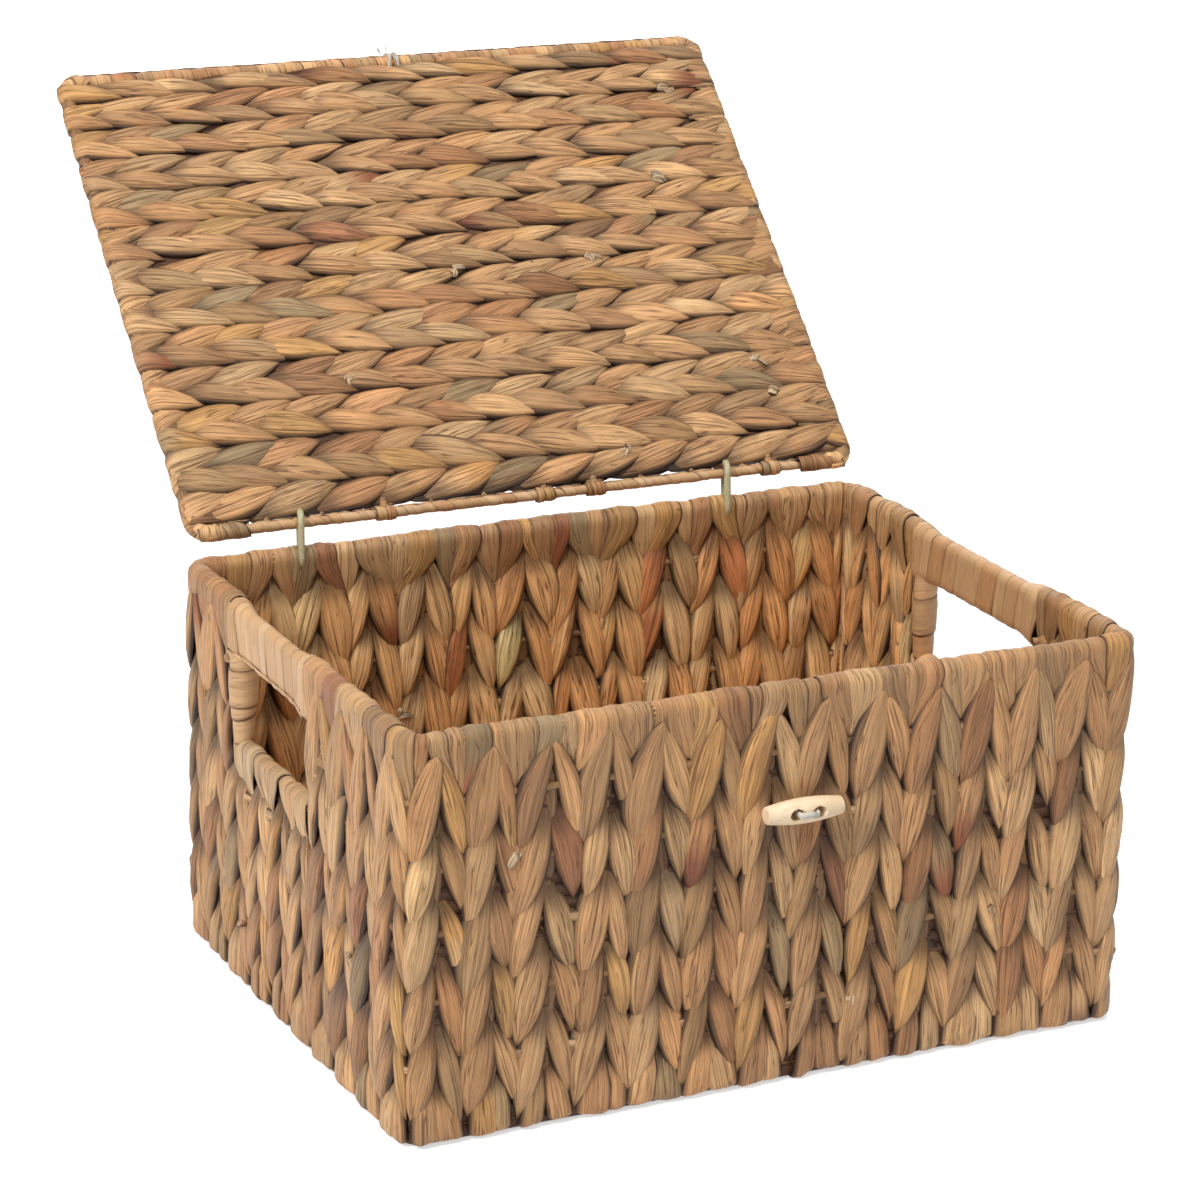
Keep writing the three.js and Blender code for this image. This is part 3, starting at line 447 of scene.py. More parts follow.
def layLeaves(dice, start, end, width, heights, bow=0.0, lift=0.0, shape=leafShape,
              hidden=shadeLook["hidden"]):
    # leaf-shaped strands from start to end, which are (run, level) pairs; the hidden share is shaded
    count = len(start)

    def held(value):
        return np.broadcast_to(value, count)[:, None, None]

    along = np.linspace(0, 1, shape["stations"])[None, :, None]
    across, under = roundStrand(shape)
    blunt, sharp = shape["blunt"]
    swell = np.sin(math.pi * along ** each(dice.uniform, count, *shape["lopsided"]))
    swell = np.maximum(swell ** (blunt + (sharp - blunt) * along), shape["tip"])
    if shape["flare"]:
        swell = shape["flare"] + (1 - shape["flare"]) * ease(along / shape["flareOver"])
    heading = end - start
    length = np.linalg.norm(heading, axis=1)
    side = np.stack([heading[:, 1], -heading[:, 0]], 1) / length[:, None]
    aside = across * held(width) / 2
    sway = held(bow) * np.sin(math.pi * along) + aside * swell
    run, level = (held(start[:, part]) + held(heading[:, part]) * along + held(side[:, part]) * sway
                  for part in (0, 1))
    folds = 0
    for turns in shape["foldTurns"]:
        phase = foldPhase(dice, count, math.pi, shape["foldDrift"], along)
        pitch = turns * each(dice.uniform, count, *foldUneven) * math.pi
        crease = np.abs(np.sin(pitch * across + phase)) ** shape["foldCrisp"] - shape["foldCrisp"]
        folds = folds + each(dice.uniform, count, *shape["foldDeep"]) / turns * crease
    thin = swell ** shape["thin"]
    top = -shape["bulge"] * np.abs(across) ** shape["steep"] * thin
    top = top + shape["fold"] * folds * swell * (1 - across ** 4)
    bottom = shape["sunk"] - (shape["bulge"] + shape["thick"]) * thin
    roll = each(dice.normal, count, 0, shape["roll"] / 2) * across * swell
    height = np.interp(along, *zip(*heights)) + held(lift) + np.where(under, bottom, top) + roll
    look = shadeLook
    # a painted shadow on the start hidden under the row above, and painted shade towards the tip
    ends = np.maximum(look["startShade"] * ease((hidden - along) / look["startSoft"]),
                      look["tipShade"] * ease((along - 1) / look["tipSoft"] + 1))
    shade = np.maximum(sideShade(across, under, *look["leafSides"]), ends)
    return strandSet(dice, run, level, height, shade, along, aside, along * held(length))


def layBands(dice, centre, width, level, lift, shape=bandShape):
    # flat strips; centre, width, level and lift are given at every station of every strip
    parts = np.broadcast_arrays(centre, width, level, lift)
    centre, width, level, lift = (part[..., None] for part in parts)
    count, stations = centre.shape[:2]
    across, under = roundStrand(shape)
    along = np.linspace(0, 1, stations)[None, :, None]
    folds = 0
    for turns in shape["foldTurns"]:
        phase = foldPhase(dice, count, math.tau, shape["foldDrift"], along)
        pitch = turns * each(dice.uniform, count, *foldUneven) * math.pi
        folds = folds + np.sin(pitch * across + phase) / turns
    top = shape["fold"] * folds * (1 - across ** 4) - shape["bulge"] * np.abs(across) ** shape["steep"]
    height = lift + np.where(under, -shape["thick"], top)
    aside = across * width / 2
    shade = sideShade(across, under, *shadeLook["bandSides"])
    return strandSet(dice, centre + aside, level, height, shade, along, aside, level)


def onSurface(dice, strands, surface, tones, calm=False):
    # one entry for addPiece's heap
    rings = surface(strands["run"], strands["level"], strands["height"])
    return rings, strands["grain"], tintStrands(dice, strands, tones, calm), strands["shade"], False


# The walls' plan: a run once round a rounded rectangle from the middle of the front-left corner
basketLook = {
    "halfX": 200.0,
    "halfY": 149.5,
    "cornerRadius": 15.0,
    "wallThick": 13.0,
    "crestInset": 1.6,
    "deepest": 7.0,
    "footRadius": 5.0,
    "liningFoot": 8.0,
    "offGround": 0.3,
    "columns": 47,
    "rimHeight": 202.0,
    "rimRadius": 5.6,
    "tipLevels": (143, 111, 77, 45, 12),
    "topTipLevel": 177.0,
    "sillHeight": 129.5,
    "sillRadius": 4.6,
}
hoopLevels = (basketLook["topTipLevel"], *basketLook["tipLevels"][:-1])  # where the frame's hoops run


def makePlan(halfX, halfY, radius):
    sides = [2 * (halfX - radius), 2 * (halfY - radius)] * 2
    corner = radius * math.pi / 2
    total = sum(sides) + 4 * corner

    def place(run, offset):
        rest = np.mod(run + corner / 2, total)
        x, y = np.zeros_like(rest), np.zeros_like(rest)
        passed = 0.0
        for side, (signX, signY) in enumerate(((-1, -1), (1, -1), (1, 1), (-1, 1))):
            quarter = (side - 2) * math.pi / 2
            fromHere = rest - passed
            here = (fromHere >= 0) & (fromHere <= corner + sides[side])
            turn = quarter + np.clip(fromHere, 0, corner) / radius
            straight = np.clip(fromHere - corner, 0, sides[side])
            farX = signX * (halfX - radius) - math.cos(quarter) * straight
            farY = signY * (halfY - radius) - math.sin(quarter) * straight
            x = np.where(here, farX + np.cos(turn) * (radius + offset), x)
            y = np.where(here, farY + np.sin(turn) * (radius + offset), y)
            passed += corner + sides[side]
        return x, y

    return place, total, corner, sides


outerPlan, outerRun, cornerRun, sideRuns = makePlan(
    basketLook["halfX"], basketLook["halfY"], basketLook["cornerRadius"])
columnPitch = outerRun / basketLook["columns"]


def sideStart(side):  # the run where a wall's straight stretch starts
    return cornerRun / 2 + sum(sideRuns[:side]) + side * cornerRun


def runAt(side, y):  # for the right wall, 1, and the left wall, 3
    half = basketLook["halfY"] - basketLook["cornerRadius"]
    return sideStart(side) + half + (y if side == 1 else -y)


def outerSkin(run, level, height):
    # the foot of each wall turns under
    foot = basketLook["footRadius"]
    turn = np.clip((foot - level) / foot, 0, math.pi / 2)
    beyond = np.maximum(foot - level - foot * math.pi / 2, 0)
    out = foot + height - basketLook["crestInset"]
    z = np.where(turn > 0, foot - out * np.sin(turn), level)
    x, y = outerPlan(run, out * np.cos(turn) - foot - beyond)
    return joined(x, y, np.maximum(z, basketLook["offGround"]))


def innerSkin(run, level, height):
    look = basketLook
    inset = look["crestInset"] - look["wallThick"] - np.maximum(height, -look["deepest"])
    return joined(*outerPlan(run, inset), np.maximum(level, look["liningFoot"]))


def foldOver(level, height, radius):
    # out and up from the middle of an edge; level 0 is where a strip comes up one face and starts over it
    turn = np.clip(level / radius, 0, math.pi)
    down = np.minimum(level, 0) - np.maximum(level - radius * math.pi, 0)
    return -np.cos(turn) * (radius + height), np.sin(turn) * (radius + height) + down


def foldSkin(radius, top):
    def place(run, level, height):
        out, up = foldOver(level, height, radius)
        return joined(*outerPlan(run, out - basketLook["wallThick"] / 2), top + up)

    return place


# Openings in the left and right walls, from the frame: the front and back of the hole, and where the
# wall behind it starts again
def readOpening(side, name):
    low, high = nodeBox(f"{name}_grip_core")
    post = nodeBox(f"{name}_jamb_wrap")
    return {"side": side, "name": name, "front": low[1], "back": post[0][1], "wallBack": high[1],
            "sign": -1 if name == "left" else 1}


openings = [readOpening(1, "right"), readOpening(3, "left")]
clearLook = {"over": 6.0, "above": 4.0, "middles": 1.0, "off": 1.5, "squeezed": 0.12}


def openingRuns(opening):
    ends = [runAt(opening["side"], opening[key]) for key in ("front", "wallBack")]
    return min(ends), max(ends)


def chosen(strands, keep):
    return {key: value[keep] for key, value in strands.items()}


def clearOfOpenings(strands):
    # drops strands that lie over an opening, and draws in those that reach into one
    look, sill = clearLook, basketLook["sillHeight"]
    run, level = strands["run"].copy(), strands["level"]
    keep = np.ones(len(run), bool)
    above = level > sill - look["above"]
    for opening in openings:
        low, high = openingRuns(opening)
        middle = run.mean((1, 2))
        within = (middle > low - look["middles"]) & (middle < high + look["middles"])
        keep &= ~(within & (level.mean((1, 2)) > sill - look["over"]))
        toLow = (middle <= low)[:, None, None] & (run > low - look["off"]) & above
        toHigh = (middle >= high)[:, None, None] & (run < high + look["off"]) & (run > low) & above
        run = np.where(toLow, low - look["off"] + look["squeezed"] * (run - low), run)
        run = np.where(toHigh, high + look["off"] - look["squeezed"] * (high - run), run)
    return chosen({**strands, "run": run}, keep)


# Heights along a strand, from its hidden start to its tip
wovenHeights = ((0, -4.6), (0.16, -2.0), (0.4, 0.9), (0.66, 1.5), (0.86, 0.4), (1, -2.4))
topHeights = ((0, 0.5), (0.1, 1.4), (0.4, 1.8), (0.66, 1.7), (0.86, 0.4), (1, -2.4))
footHeights = ((0, -4.6), (0.2, -2.4), (0.5, 0.2), (0.8, 0.4), (1, -0.4))
underHeights = ((0, -2.4), (0.1, -1.2), (0.4, 1.0), (0.66, 1.4), (0.86, 0.4), (1, -2.4))
deepHeights = ((0, -4.0), (0.5, -2.2), (1, -3.4))

# The walls' chevrons: shares are of a column's width, and scatters go across and along
wallLook = {
    "outerShare": 0.66,
    "innerShare": 0.6,
    "bothShares": 1.2,
    "topShare": 0.06,
    "wideUneven": (0.8, 1.22),
    "drift": 1.0,
    "tipScatter": (1.5, 3.2),
    "tipAside": 1.2,
    "tipLower": 3.0,
    "peakScatter": (0.9, 2.6),
    "peakAside": 0.6,
    "long": 56,
    "bow": (0.2, 3.0),
    "overlap": 0.7,
    "topLevels": (197, 198.5),
    "underSill": 6.0,
    "shortest": 20,
    "footLevel": -7,
    "footLong": 48,
    "footAside": 2.6,
    "footShare": 0.6,
    "deepWide": 10.0,
    "deepLevels": (50, 4),
    "deepStart": 1.0,
    "deepScatter": (2.0, 3.0),
}


def wallLeaves(dice, inside, wideShare):
    # every strand of one face of the four walls, as layLeaves gives them, row by row
    look, count, pitch = wallLook, basketLook["columns"], columnPitch
    lines = np.arange(count) * pitch
    drift = dice.normal(0, look["drift"], count)
    peakDrift = (np.roll(drift, -1) + drift) / 2
    rows = []
    underSill = basketLook["sillHeight"] - look["underSill"]
    for tipLevel in (*basketLook["tipLevels"], look["footLevel"]):
        top, foot = tipLevel == basketLook["tipLevels"][0], tipLevel == look["footLevel"]
        if foot and inside:
            continue
        over = top and not inside  # these lie on the rim's strips
        heights = topHeights if over else underHeights if top else footHeights if foot else wovenHeights
        for slash in (False, True):
            sign = 1 if slash else -1
            lower = 0 if foot else look["tipLower"] * slash
            tips = joined(lines + drift + sign * look["tipAside"], tipLevel - lower)
            tips = tips + scatter(dice, count, *look["tipScatter"])
            peaks = lines + sign * pitch / 2 + (peakDrift if slash else np.roll(peakDrift, 1))
            long = look["footLong"] if foot else look["long"]
            starts = joined(peaks - sign * look["peakAside"], tipLevel + long)
            starts = starts + scatter(dice, count, *look["peakScatter"])
            share = wideShare if slash else look["bothShares"] - wideShare
            if top:
                starts[:, 1] = np.minimum(starts[:, 1], look["topLevels"][slash and not inside])
                share += look["topShare"] * slash
            if foot:
                tips[:, 0] += sign * pitch / 4
                starts[:, 0] -= sign * look["footAside"]
                share = look["footShare"]
            middle = lines + sign * pitch / 4
            for low, high in map(openingRuns, openings):
                under = (middle > low) & (middle < high)
                starts[under, 1] = np.minimum(starts[under, 1], underSill)
            width = pitch * share * dice.uniform(*look["wideUneven"], count)
            bow = sign * dice.uniform(*look["bow"], count) * (not foot)
            leaves = clearOfOpenings(layLeaves(
                dice, starts, tips, width, heights, bow, lift=look["overlap"] * (slash - 0.5),
                shape=wedgeShape if foot else leafShape, hidden=0.0 if over else shadeLook["hidden"]))
            rows.append(chosen(leaves, np.ptp(leaves["level"], (1, 2)) >= look["shortest"]))
        if not foot:  # thin strands deep between the columns
            peaks = lines + pitch / 2 + peakDrift
            above, below = look["deepLevels"]
            starts = joined(peaks + dice.normal(0, look["deepStart"], count), tipLevel + above)
            tips = joined(peaks, tipLevel + below) + scatter(dice, count, *look["deepScatter"])
            leaves = layLeaves(dice, starts, tips, look["deepWide"], deepHeights, shape=deepShape,
                               hidden=0.0)
            # painted shade: these lie deep in the gaps between the columns
            leaves["shade"] = np.maximum(leaves["shade"], deepShape["shade"])
            rows.append(clearOfOpenings(leaves))
    return rows


def wallOf(strands, side):
    # the strands whose middle lies on one wall, half of each corner with it
    start = sideStart(side) - cornerRun / 2
    middle = np.mod(strands["run"].mean((1, 2)), outerRun)
    return chosen(strands, (middle >= start) & (middle < start + sideRuns[side] + cornerRun))


def addWalls():
    dice = np.random.default_rng(21)
    outer = wallLeaves(dice, False, wallLook["outerShare"])
    inner = wallLeaves(dice, True, wallLook["innerShare"])
    for side, name in enumerate(("front", "right", "back", "left")):
        for rows, surface, tones, piece, material, slot, replaced in (
                (outer, outerSkin, outerTones, "Strands", strandLook, "strand", [f"{name}_weave"]),
                (inner, innerSkin, innerTonesWithPaintedLight, "Lining", liningLook, "inner_strand", [])):
            faces = [wallOf(strands, side) for strands in rows]
            heap = [onSurface(dice, strands, surface, tones) for strands in faces if len(strands["run"])]
            addPiece(name + piece, heap, material, "basket", replaced)


addWalls()
print("scene: walls")

# Strips that fold over an edge: the rim, the sills under the grips, and the fronts of the openings
foldLook = {"tailOut": 27.0, "tailIn": 28.0, "step": (8.5, 16.0), "most": 200, "gather": 0.24,
            "narrow": 0.5, "dip": 2.6, "stations": 30, "lean": 1.2, "wide": (1.15, 1.5), "overlap": 1.0,
            "reach": (0.88, 1.12), "rise": (-0.5, 1.0), "nearEnd": 10.0, "endNarrow": 0.12}
openingLook = {
    "sillInset": 1.0,
    "sillTails": (20.0, 22.0),
    "postGap": 0.8,
    "postLevels": (137.0, 145.6, 154.2, 162.8, 171.4),
    "postUneven": 0.7,
    "postDrop": 5.0,
    "postWide": 11.5,
    "postRadius": 5.2,
    "postTail": 18.0,
    "postRise": (-0.3, 0.5),
    "endLevels": (181.0, 188.5, 196.0),
    "endWide": 13.0,
    "endRadius": 4.2,
    "endTail": 14.0,
}


def layFolds(dice, places, aims, width, radius, tailIn, tailOut, lift=0.0, narrow=foldLook["narrow"]):
    # each strip comes up one face, over the edge and down the other, and draws in towards its aim
    look = foldLook
    count = len(places)

    def held(value):
        return np.broadcast_to(value, count)[:, None]

    over = math.pi * radius
    tailIn, tailOut = held(tailIn), held(tailOut)
    level = np.linspace(0, 1, look["stations"])[None, :] * (tailIn + over + tailOut) - tailIn
    away = np.maximum(ease((level - over) / tailOut), ease(-level / tailIn))
    slant = held(dice.normal(0, look["lean"], count)) * (ease(level / over) - 0.5)
    centre = held(places) + held(aims - places) * (1 - look["gather"]) * away + slant
    width = held(width) * (1 - held(narrow) * away)
    return layBands(dice, centre, width, level, held(lift) - look["dip"] * away ** 2, shape=foldShape)


def columnFolds(dice, low, high, radius, tailIn, tailOut):
    # strips side by side between two runs, each drawn in towards the nearest column
    look = foldLook
    steps = np.cumsum(dice.uniform(*look["step"], look["most"]))
    steps = steps[:np.searchsorted(steps, high - low) + 1]
    edges = low + np.concatenate([[0], steps]) * (high - low) / steps[-1]
    places = halfway(edges)
    count = len(places)
    lines = np.round(places / columnPitch) * columnPitch
    width = np.diff(edges) * dice.uniform(*look["wide"], count)
    places = np.clip(places, low + width / 2 - look["overlap"], high - width / 2 + look["overlap"])
    reach = tailOut * dice.uniform(*look["reach"], count)
    atEnd = np.minimum(places - low, high - places) < look["nearEnd"]  # these stay beside what they end at
    return layFolds(dice, places, np.where(atEnd, places, lines), width, radius, tailIn, reach,
                    dice.uniform(*look["rise"], count), np.where(atEnd, look["endNarrow"], look["narrow"]))


def postSkin(opening, radius):
    # run is the height, and the strips fold round the front side of an opening
    middleX = opening["sign"] * (basketLook["halfX"] - basketLook["wallThick"] / 2)
    middleY = opening["front"] - radius - openingLook["postGap"]

    def place(run, level, height):
        out, back = foldOver(level, height, radius)
        return joined(middleX + opening["sign"] * out, middleY + back, run)

    return place


def wholeRuns(gap=0.0):
    # the two stretches of wall between the openings, at grip height
    (rightLow, rightHigh), (leftLow, leftHigh) = map(openingRuns, openings)
    return [(leftHigh + gap - outerRun, rightLow - gap), (rightHigh + gap, leftLow - gap)]


def addFolds():
    dice = np.random.default_rng(33)
    rim = basketLook["rimRadius"], foldLook["tailIn"], foldLook["tailOut"]
    surface = foldSkin(basketLook["rimRadius"], basketLook["rimHeight"])
    heap = [onSurface(dice, columnFolds(dice, *runs, *rim), surface, rimTones) for runs in wholeRuns()]
    addPiece("rimStrips", heap, bandLook, "basket")
    look = openingLook
    sill = foldSkin(basketLook["sillRadius"], basketLook["sillHeight"])
    heap = []
    for opening in openings:
        low, high = openingRuns(opening)
        folds = columnFolds(dice, low + look["sillInset"], high - look["sillInset"],
                            basketLook["sillRadius"], *look["sillTails"])
        heap.append(onSurface(dice, folds, sill, sillTones))
        count = len(look["postLevels"])
        levels = look["postLevels"] + dice.normal(0, look["postUneven"], count)
        folds = layFolds(dice, levels, levels - look["postDrop"], look["postWide"], look["postRadius"],
                         look["postTail"], look["postTail"], dice.uniform(*look["postRise"], count))
        heap.append(onSurface(dice, folds, postSkin(opening, look["postRadius"]), outerTones))
        levels = np.array(look["endLevels"])  # these fill the wall's end beside the grip
        folds = layFolds(dice, levels, levels, look["endWide"], look["endRadius"], look["endTail"],
                         look["endTail"])
        heap.append(onSurface(dice, folds, postSkin(opening, look["endRadius"]), outerTones))
    addPiece("openingStrips", heap, bandLook, "basket")


addFolds()

# Strands that lie across inside the walls, painted dark as the shadow in the gaps they show through, and
# the wound hoops that show in small gaps
fillLook = {"levels": np.arange(5, 201, 7.2), "half": (2.3, 4.1), "hoopRadius": 2.1, "hoopInset": 5.2,
            "topHoopInset": 3.9, "hoopDrop": 3.0, "rimBar": 4.3, "rimGap": 1.0, "sillBar": 3.6,
            "overSill": 3.0, "gap": 4.0, "step": 6.0, "coreShade": 0.2, "edgeShade": 0.3}
barFine = {"sides": 8, "thickSides": 16, "stations": 60}


def layRound(dice, runs, level, inset, half, tones, shade, sides=barFine["sides"], wound=False):
    # one heap entry: a bar that follows the walls' plan between two runs, or once round
    low, high, closed = runs
    thick, tall = np.broadcast_to(half, 2)
    stations = max(int((high - low) / fillLook["step"]), 8)
    run = np.linspace(low, high, stations, endpoint=not closed)[None, :, None]
    angle = circle(sides)
    rings = joined(*outerPlan(run, thick * np.cos(angle) - inset), level + tall * np.sin(angle))
    grain = joined(angle * tall, run + level * grainLook["barStep"])
    return rings, grain[..., ::-1] if wound else grain, drawTones(dice, 1, tones)[0], shade, closed


def barRuns(level):
    if level < basketLook["sillHeight"] + fillLook["overSill"]:
        return [(0.0, outerRun, True)]
    return [(*runs, False) for runs in wholeRuns(fillLook["gap"])]


def addFilling():
    dice = np.random.default_rng(5)
    look, middle = fillLook, basketLook["wallThick"] / 2
    heap = [layRound(dice, runs, level, middle, look["half"], gapShadowTones, look["coreShade"])
            for level in look["levels"] for runs in barRuns(level)]
    addPiece("crossStrands", heap, liningLook, "basket")
    bars = [(runs, basketLook["rimHeight"], look["rimBar"]) for runs in wholeRuns(look["rimGap"])]
    bars += [(openingRuns(opening), basketLook["sillHeight"], look["sillBar"]) for opening in openings]
    heap = [layRound(dice, (*runs, False), level, middle, radius, outerTones, look["edgeShade"],
                     sides=barFine["thickSides"]) for runs, level, radius in bars]
    addPiece("edgeStrands", heap, strandLook, "basket")
    heap = []
    for hoopLevel in hoopLevels:
        level = hoopLevel - look["hoopDrop"]
        outerInset = look["topHoopInset"] if hoopLevel == hoopLevels[0] else look["hoopInset"]
        for inset in (outerInset, basketLook["wallThick"] - look["hoopInset"]):
            heap += [layRound(dice, runs, level, inset, look["hoopRadius"], stemTones, 0.0, wound=True)
                     for runs in barRuns(level)]
    addPiece("woundHoops", heap, peelLook, "basket")


addFilling()
print("scene: rim, sills and filling")

# The floor, in rows along the width
floorLook = {"halfX": 188.5, "halfY": 138.0, "rows": 11, "pitch": 31.0, "long": 50.0, "beyond": 16.0,
             "top": 11.6, "under": 2.1, "coilInset": 11.0, "coilLevels": (4.4, 10.4), "coilHalf": 3.4,
             "barHalf": (7.6, 1.6), "barReach": 187.0, "barLevel": 7.0}
rowLook = {"shift": 6.0, "tipScatter": (3.0, 0.9), "upperLead": 4.0, "tipsApart": 0.6, "long": (0.88, 1.12),
           "past": 0.9, "startUneven": 0.9, "wide": 1.38, "wideUneven": (0.92, 1.14), "bow": (0.4, 2.0),
           "overlap": 0.35}


def layRows(dice, edges, look):
    # rows of chevrons that point along +X, between edges counted along Y
    rows = []
    span = 2 * look["halfX"] - look["long"] / 2 + look["beyond"]
    steps = math.ceil(span / look["pitch"])
    count = steps + 1
    for centre, half in zip(halfway(edges), np.diff(edges) / 2):
        first = look["halfX"] + look["beyond"] + dice.uniform(-rowLook["shift"], rowLook["shift"])
        tips = first - span / steps * np.arange(count)
        for sign in (-1, 1):
            lead = rowLook["upperLead"] if sign > 0 else 0
            end = joined(tips + lead, centre + sign * rowLook["tipsApart"])
            end = end + scatter(dice, count, *rowLook["tipScatter"])
            start = joined(end[:, 0] - look["long"] * dice.uniform(*rowLook["long"], count),
                           centre + sign * (half + rowLook["past"])
                           + dice.normal(0, rowLook["startUneven"], count))
            width = half * rowLook["wide"] * dice.uniform(*rowLook["wideUneven"], count)
            rows.append(layLeaves(dice, start, end, width, wovenHeights, lift=rowLook["overlap"] * sign,
                                  bow=-sign * dice.uniform(*rowLook["bow"], count)))
    return rows


def layBars(dice, edges, look, placed):
    # flat strands side by side along X, in the middle of a floor or a lid, painted dark as the shadow in
    # the gaps between the rows
    angle = circle(barFine["sides"])
    run = np.linspace(-look["barReach"], look["barReach"], barFine["stations"])[None, :, None]
    wide, thick = look["barHalf"]
    heap = []
    for centre in np.concatenate([halfway(edges), edges[1:-1]]):
        rings = placed(joined(run, centre + wide * np.cos(angle), thick * np.sin(angle)))
        grain = joined(angle * wide, run + centre * grainLook["barStep"])
        heap.append((rings, grain, drawTones(dice, 1, gapShadowTones)[0], fillLook["coreShade"], False))
    return heap


def floorSkin(under):
    look = floorLook

    def place(run, level, height):
        z = np.maximum(look["under"] - height, basketLook["offGround"]) if under else look["top"] + height
        return joined(np.clip(run, -look["halfX"], look["halfX"]),
                      np.clip(level, -look["halfY"], look["halfY"]), z)

    return place


def addFloor():
    dice = np.random.default_rng(8)
    look = floorLook
    edges = np.linspace(-look["halfY"], look["halfY"], look["rows"] + 1)
    for under, name, replaced in ((False, "floorStrands", ["floor_weave"]), (True, "floorUnderside", [])):
        heap = [onSurface(dice, row, floorSkin(under), innerTonesWithPaintedLight) for row in layRows(dice, edges, look)]
        if not under:  # two coils close the corner between the floor and the walls
            heap += [layRound(dice, (0.0, outerRun, True), level, look["coilInset"], look["coilHalf"],
                              innerTonesWithPaintedLight, fillLook["edgeShade"], wound=True)
                     for level in look["coilLevels"]]
            heap += layBars(dice, edges, look, lambda points: points + [0, 0, look["barLevel"]])
        addPiece(name, heap, liningLook, "basket", replaced)


addFloor()
print("scene: floor")

# The lid, made in its own axes: X along the hinge, Y to the front edge, Z out of its inner face
lidLook = {
    "openAngle": 44.1,
    "halfX": 197.5,
    "halfThick": 6.3,
    "inset": 1.5,
    "rows": 12,
    "rowsFrom": 8.6,
    "rowsTo": 280.0,
    "rowsBeyond": (4.5, 0.6),
    "firstRow": 19.0,
    "pitch": 31.0,
    "long": 58.0,
    "beyond": 24.0,
    "foldedFlat": 0.65,
    "frontRodY": 284.1,
    "cornerRadius": 7.7,
    "barHalf": (6.6, 2.1),
    "barReach": 190.0,
    "sideBar": 4.3,
    "sideBeyond": (3.0, 2.0),
    "sideShade": 0.1,
}
hinge = next(joint for joint in frame["joints"] if joint["name"] == "lid_hinge")
hingePlace = np.array(hinge["pos_m"]) / mm
lidTurn = math.radians(lidLook["openAngle"])


def fromLid(points):  # the lid's own axes to the basket's
    x, y, z = np.moveaxis(points, -1, 0)
    cos, sin = math.cos(lidTurn), math.sin(lidTurn)
    return joined(x, y * cos - z * sin, y * sin + z * cos) + hingePlace


def lidSkin(inner):
    # strands that reach a side edge fold round it to the other face
    sign = 1 if inner else -1
    radius = lidLook["halfThick"] - lidLook["inset"]
    edge = lidLook["halfX"] - lidLook["halfThick"]
    before, after = lidLook["rowsBeyond"]

    def place(run, level, height):
        past = np.maximum(np.abs(run) - edge, 0)
        turn = np.clip(past / radius, 0, math.pi)
        out = radius + height * (1 - lidLook["foldedFlat"] * ease(turn))
        level = np.clip(level, lidLook["rowsFrom"] - before, lidLook["rowsTo"] + after)
        back = np.maximum(past - radius * math.pi, 0)
        x = np.sign(run) * (np.minimum(np.abs(run), edge) + np.sin(turn) * out - back)
        return fromLid(joined(x, level, sign * np.cos(turn) * out))

    return place


def lidEdges():
    look = lidLook
    span = look["rowsTo"] - look["rowsFrom"]
    growth = 2 * (span / look["rows"] - look["firstRow"]) / (look["rows"] - 1)
    widths = look["firstRow"] + growth * np.arange(look["rows"])
    return look["rowsTo"] - np.concatenate([[0], np.cumsum(widths)])[::-1]


def addLidFaces():
    dice = np.random.default_rng(46)
    for inner, name, replaced in ((True, "lidStrands", ["lid_weave"]), (False, "lidTopStrands", [])):
        rows = layRows(dice, lidEdges(), lidLook)
        heap = [onSurface(dice, row, lidSkin(inner), outerTones) for row in rows]
        addPiece(name, heap, strandLook, "lid", replaced)


def addLidFilling():
    dice = np.random.default_rng(47)
    look, radius = lidLook, lidLook["sideBar"]
    heap = layBars(dice, lidEdges(), look, fromLid)
    angle = circle(barFine["sides"])
    before, after = look["sideBeyond"]
    length = np.linspace(look["rowsFrom"] - before, look["rowsTo"] + after, barFine["stations"])
    length = length[None, :, None]
    for sign in (-1, 1):  # these fill the side edges, between the rows that fold round them
        across = sign * (look["halfX"] - look["halfThick"] + radius * np.cos(angle))
        rings = fromLid(joined(across, length, radius * np.sin(angle)))
        tone = drawTones(dice, 1, stemTones)[0]
        heap.append((rings, joined(angle * radius, length), tone, look["sideShade"], False))
    addPiece("lidCrossStrands", heap, liningLook, "lid")


addLidFaces()
addLidFilling()
print("scene: lid")

# Windings: bands laid round a bar, whose section is round or has two flats
windLook = {"uneven": 0.13, "lap": 0.09, "stations": 30, "clear": 0.4, "wider": 1.2, "rise": 0.65,
            "riseUneven": (-0.1, 0.25)}


def wrapSkin(origin, axis, first, second, radius, halfFlat=0.0, placed=lambda points: points):
    # gives the surface and the length once round it; level 0 is where the first flat starts
    origin, axes = np.array(origin, float), np.array([axis, first, second], float)
    arc = math.pi * radius
    bends = np.cumsum([0, 2 * halfFlat, arc, 2 * halfFlat, arc])

    def place(run, level, height):
        level = np.mod(level, bends[-1])
        turn = np.interp(level, bends, (0, 0, math.pi, math.pi, math.tau))
        flat = np.interp(level, bends, halfFlat * np.array((-1, 1, 1, -1, -1)))
        out = radius + height
        return placed(origin + joined(run, out * np.cos(turn), out * np.sin(turn) + flat) @ axes)

    return place, bends[-1]


def windBands(dice, low, high, width, around, start=0.0, lean=1.0, lift=0.0):
    # bands of about this width side by side, each once round and a little more, edging along
    look = windLook
    count = max(int(round((high - low) / width)), 1)
    ends = np.linspace(low, high, count + 1)
    ends[1:-1] += dice.normal(0, width * look["uneven"], count - 1)
    share = np.linspace(-look["lap"], 1 + look["lap"], look["stations"])[None, :]
    wide = np.diff(ends)[:, None]
    centre = halfway(ends)[:, None] + lean * wide * (share - 0.5)
    centre = np.clip(centre, low + wide * look["clear"], high - wide * look["clear"])
    rise = lift + look["rise"] * share + dice.uniform(*look["riseUneven"], count)[:, None]
    return layBands(dice, centre, wide * look["wider"], (share + start) * around, rise)


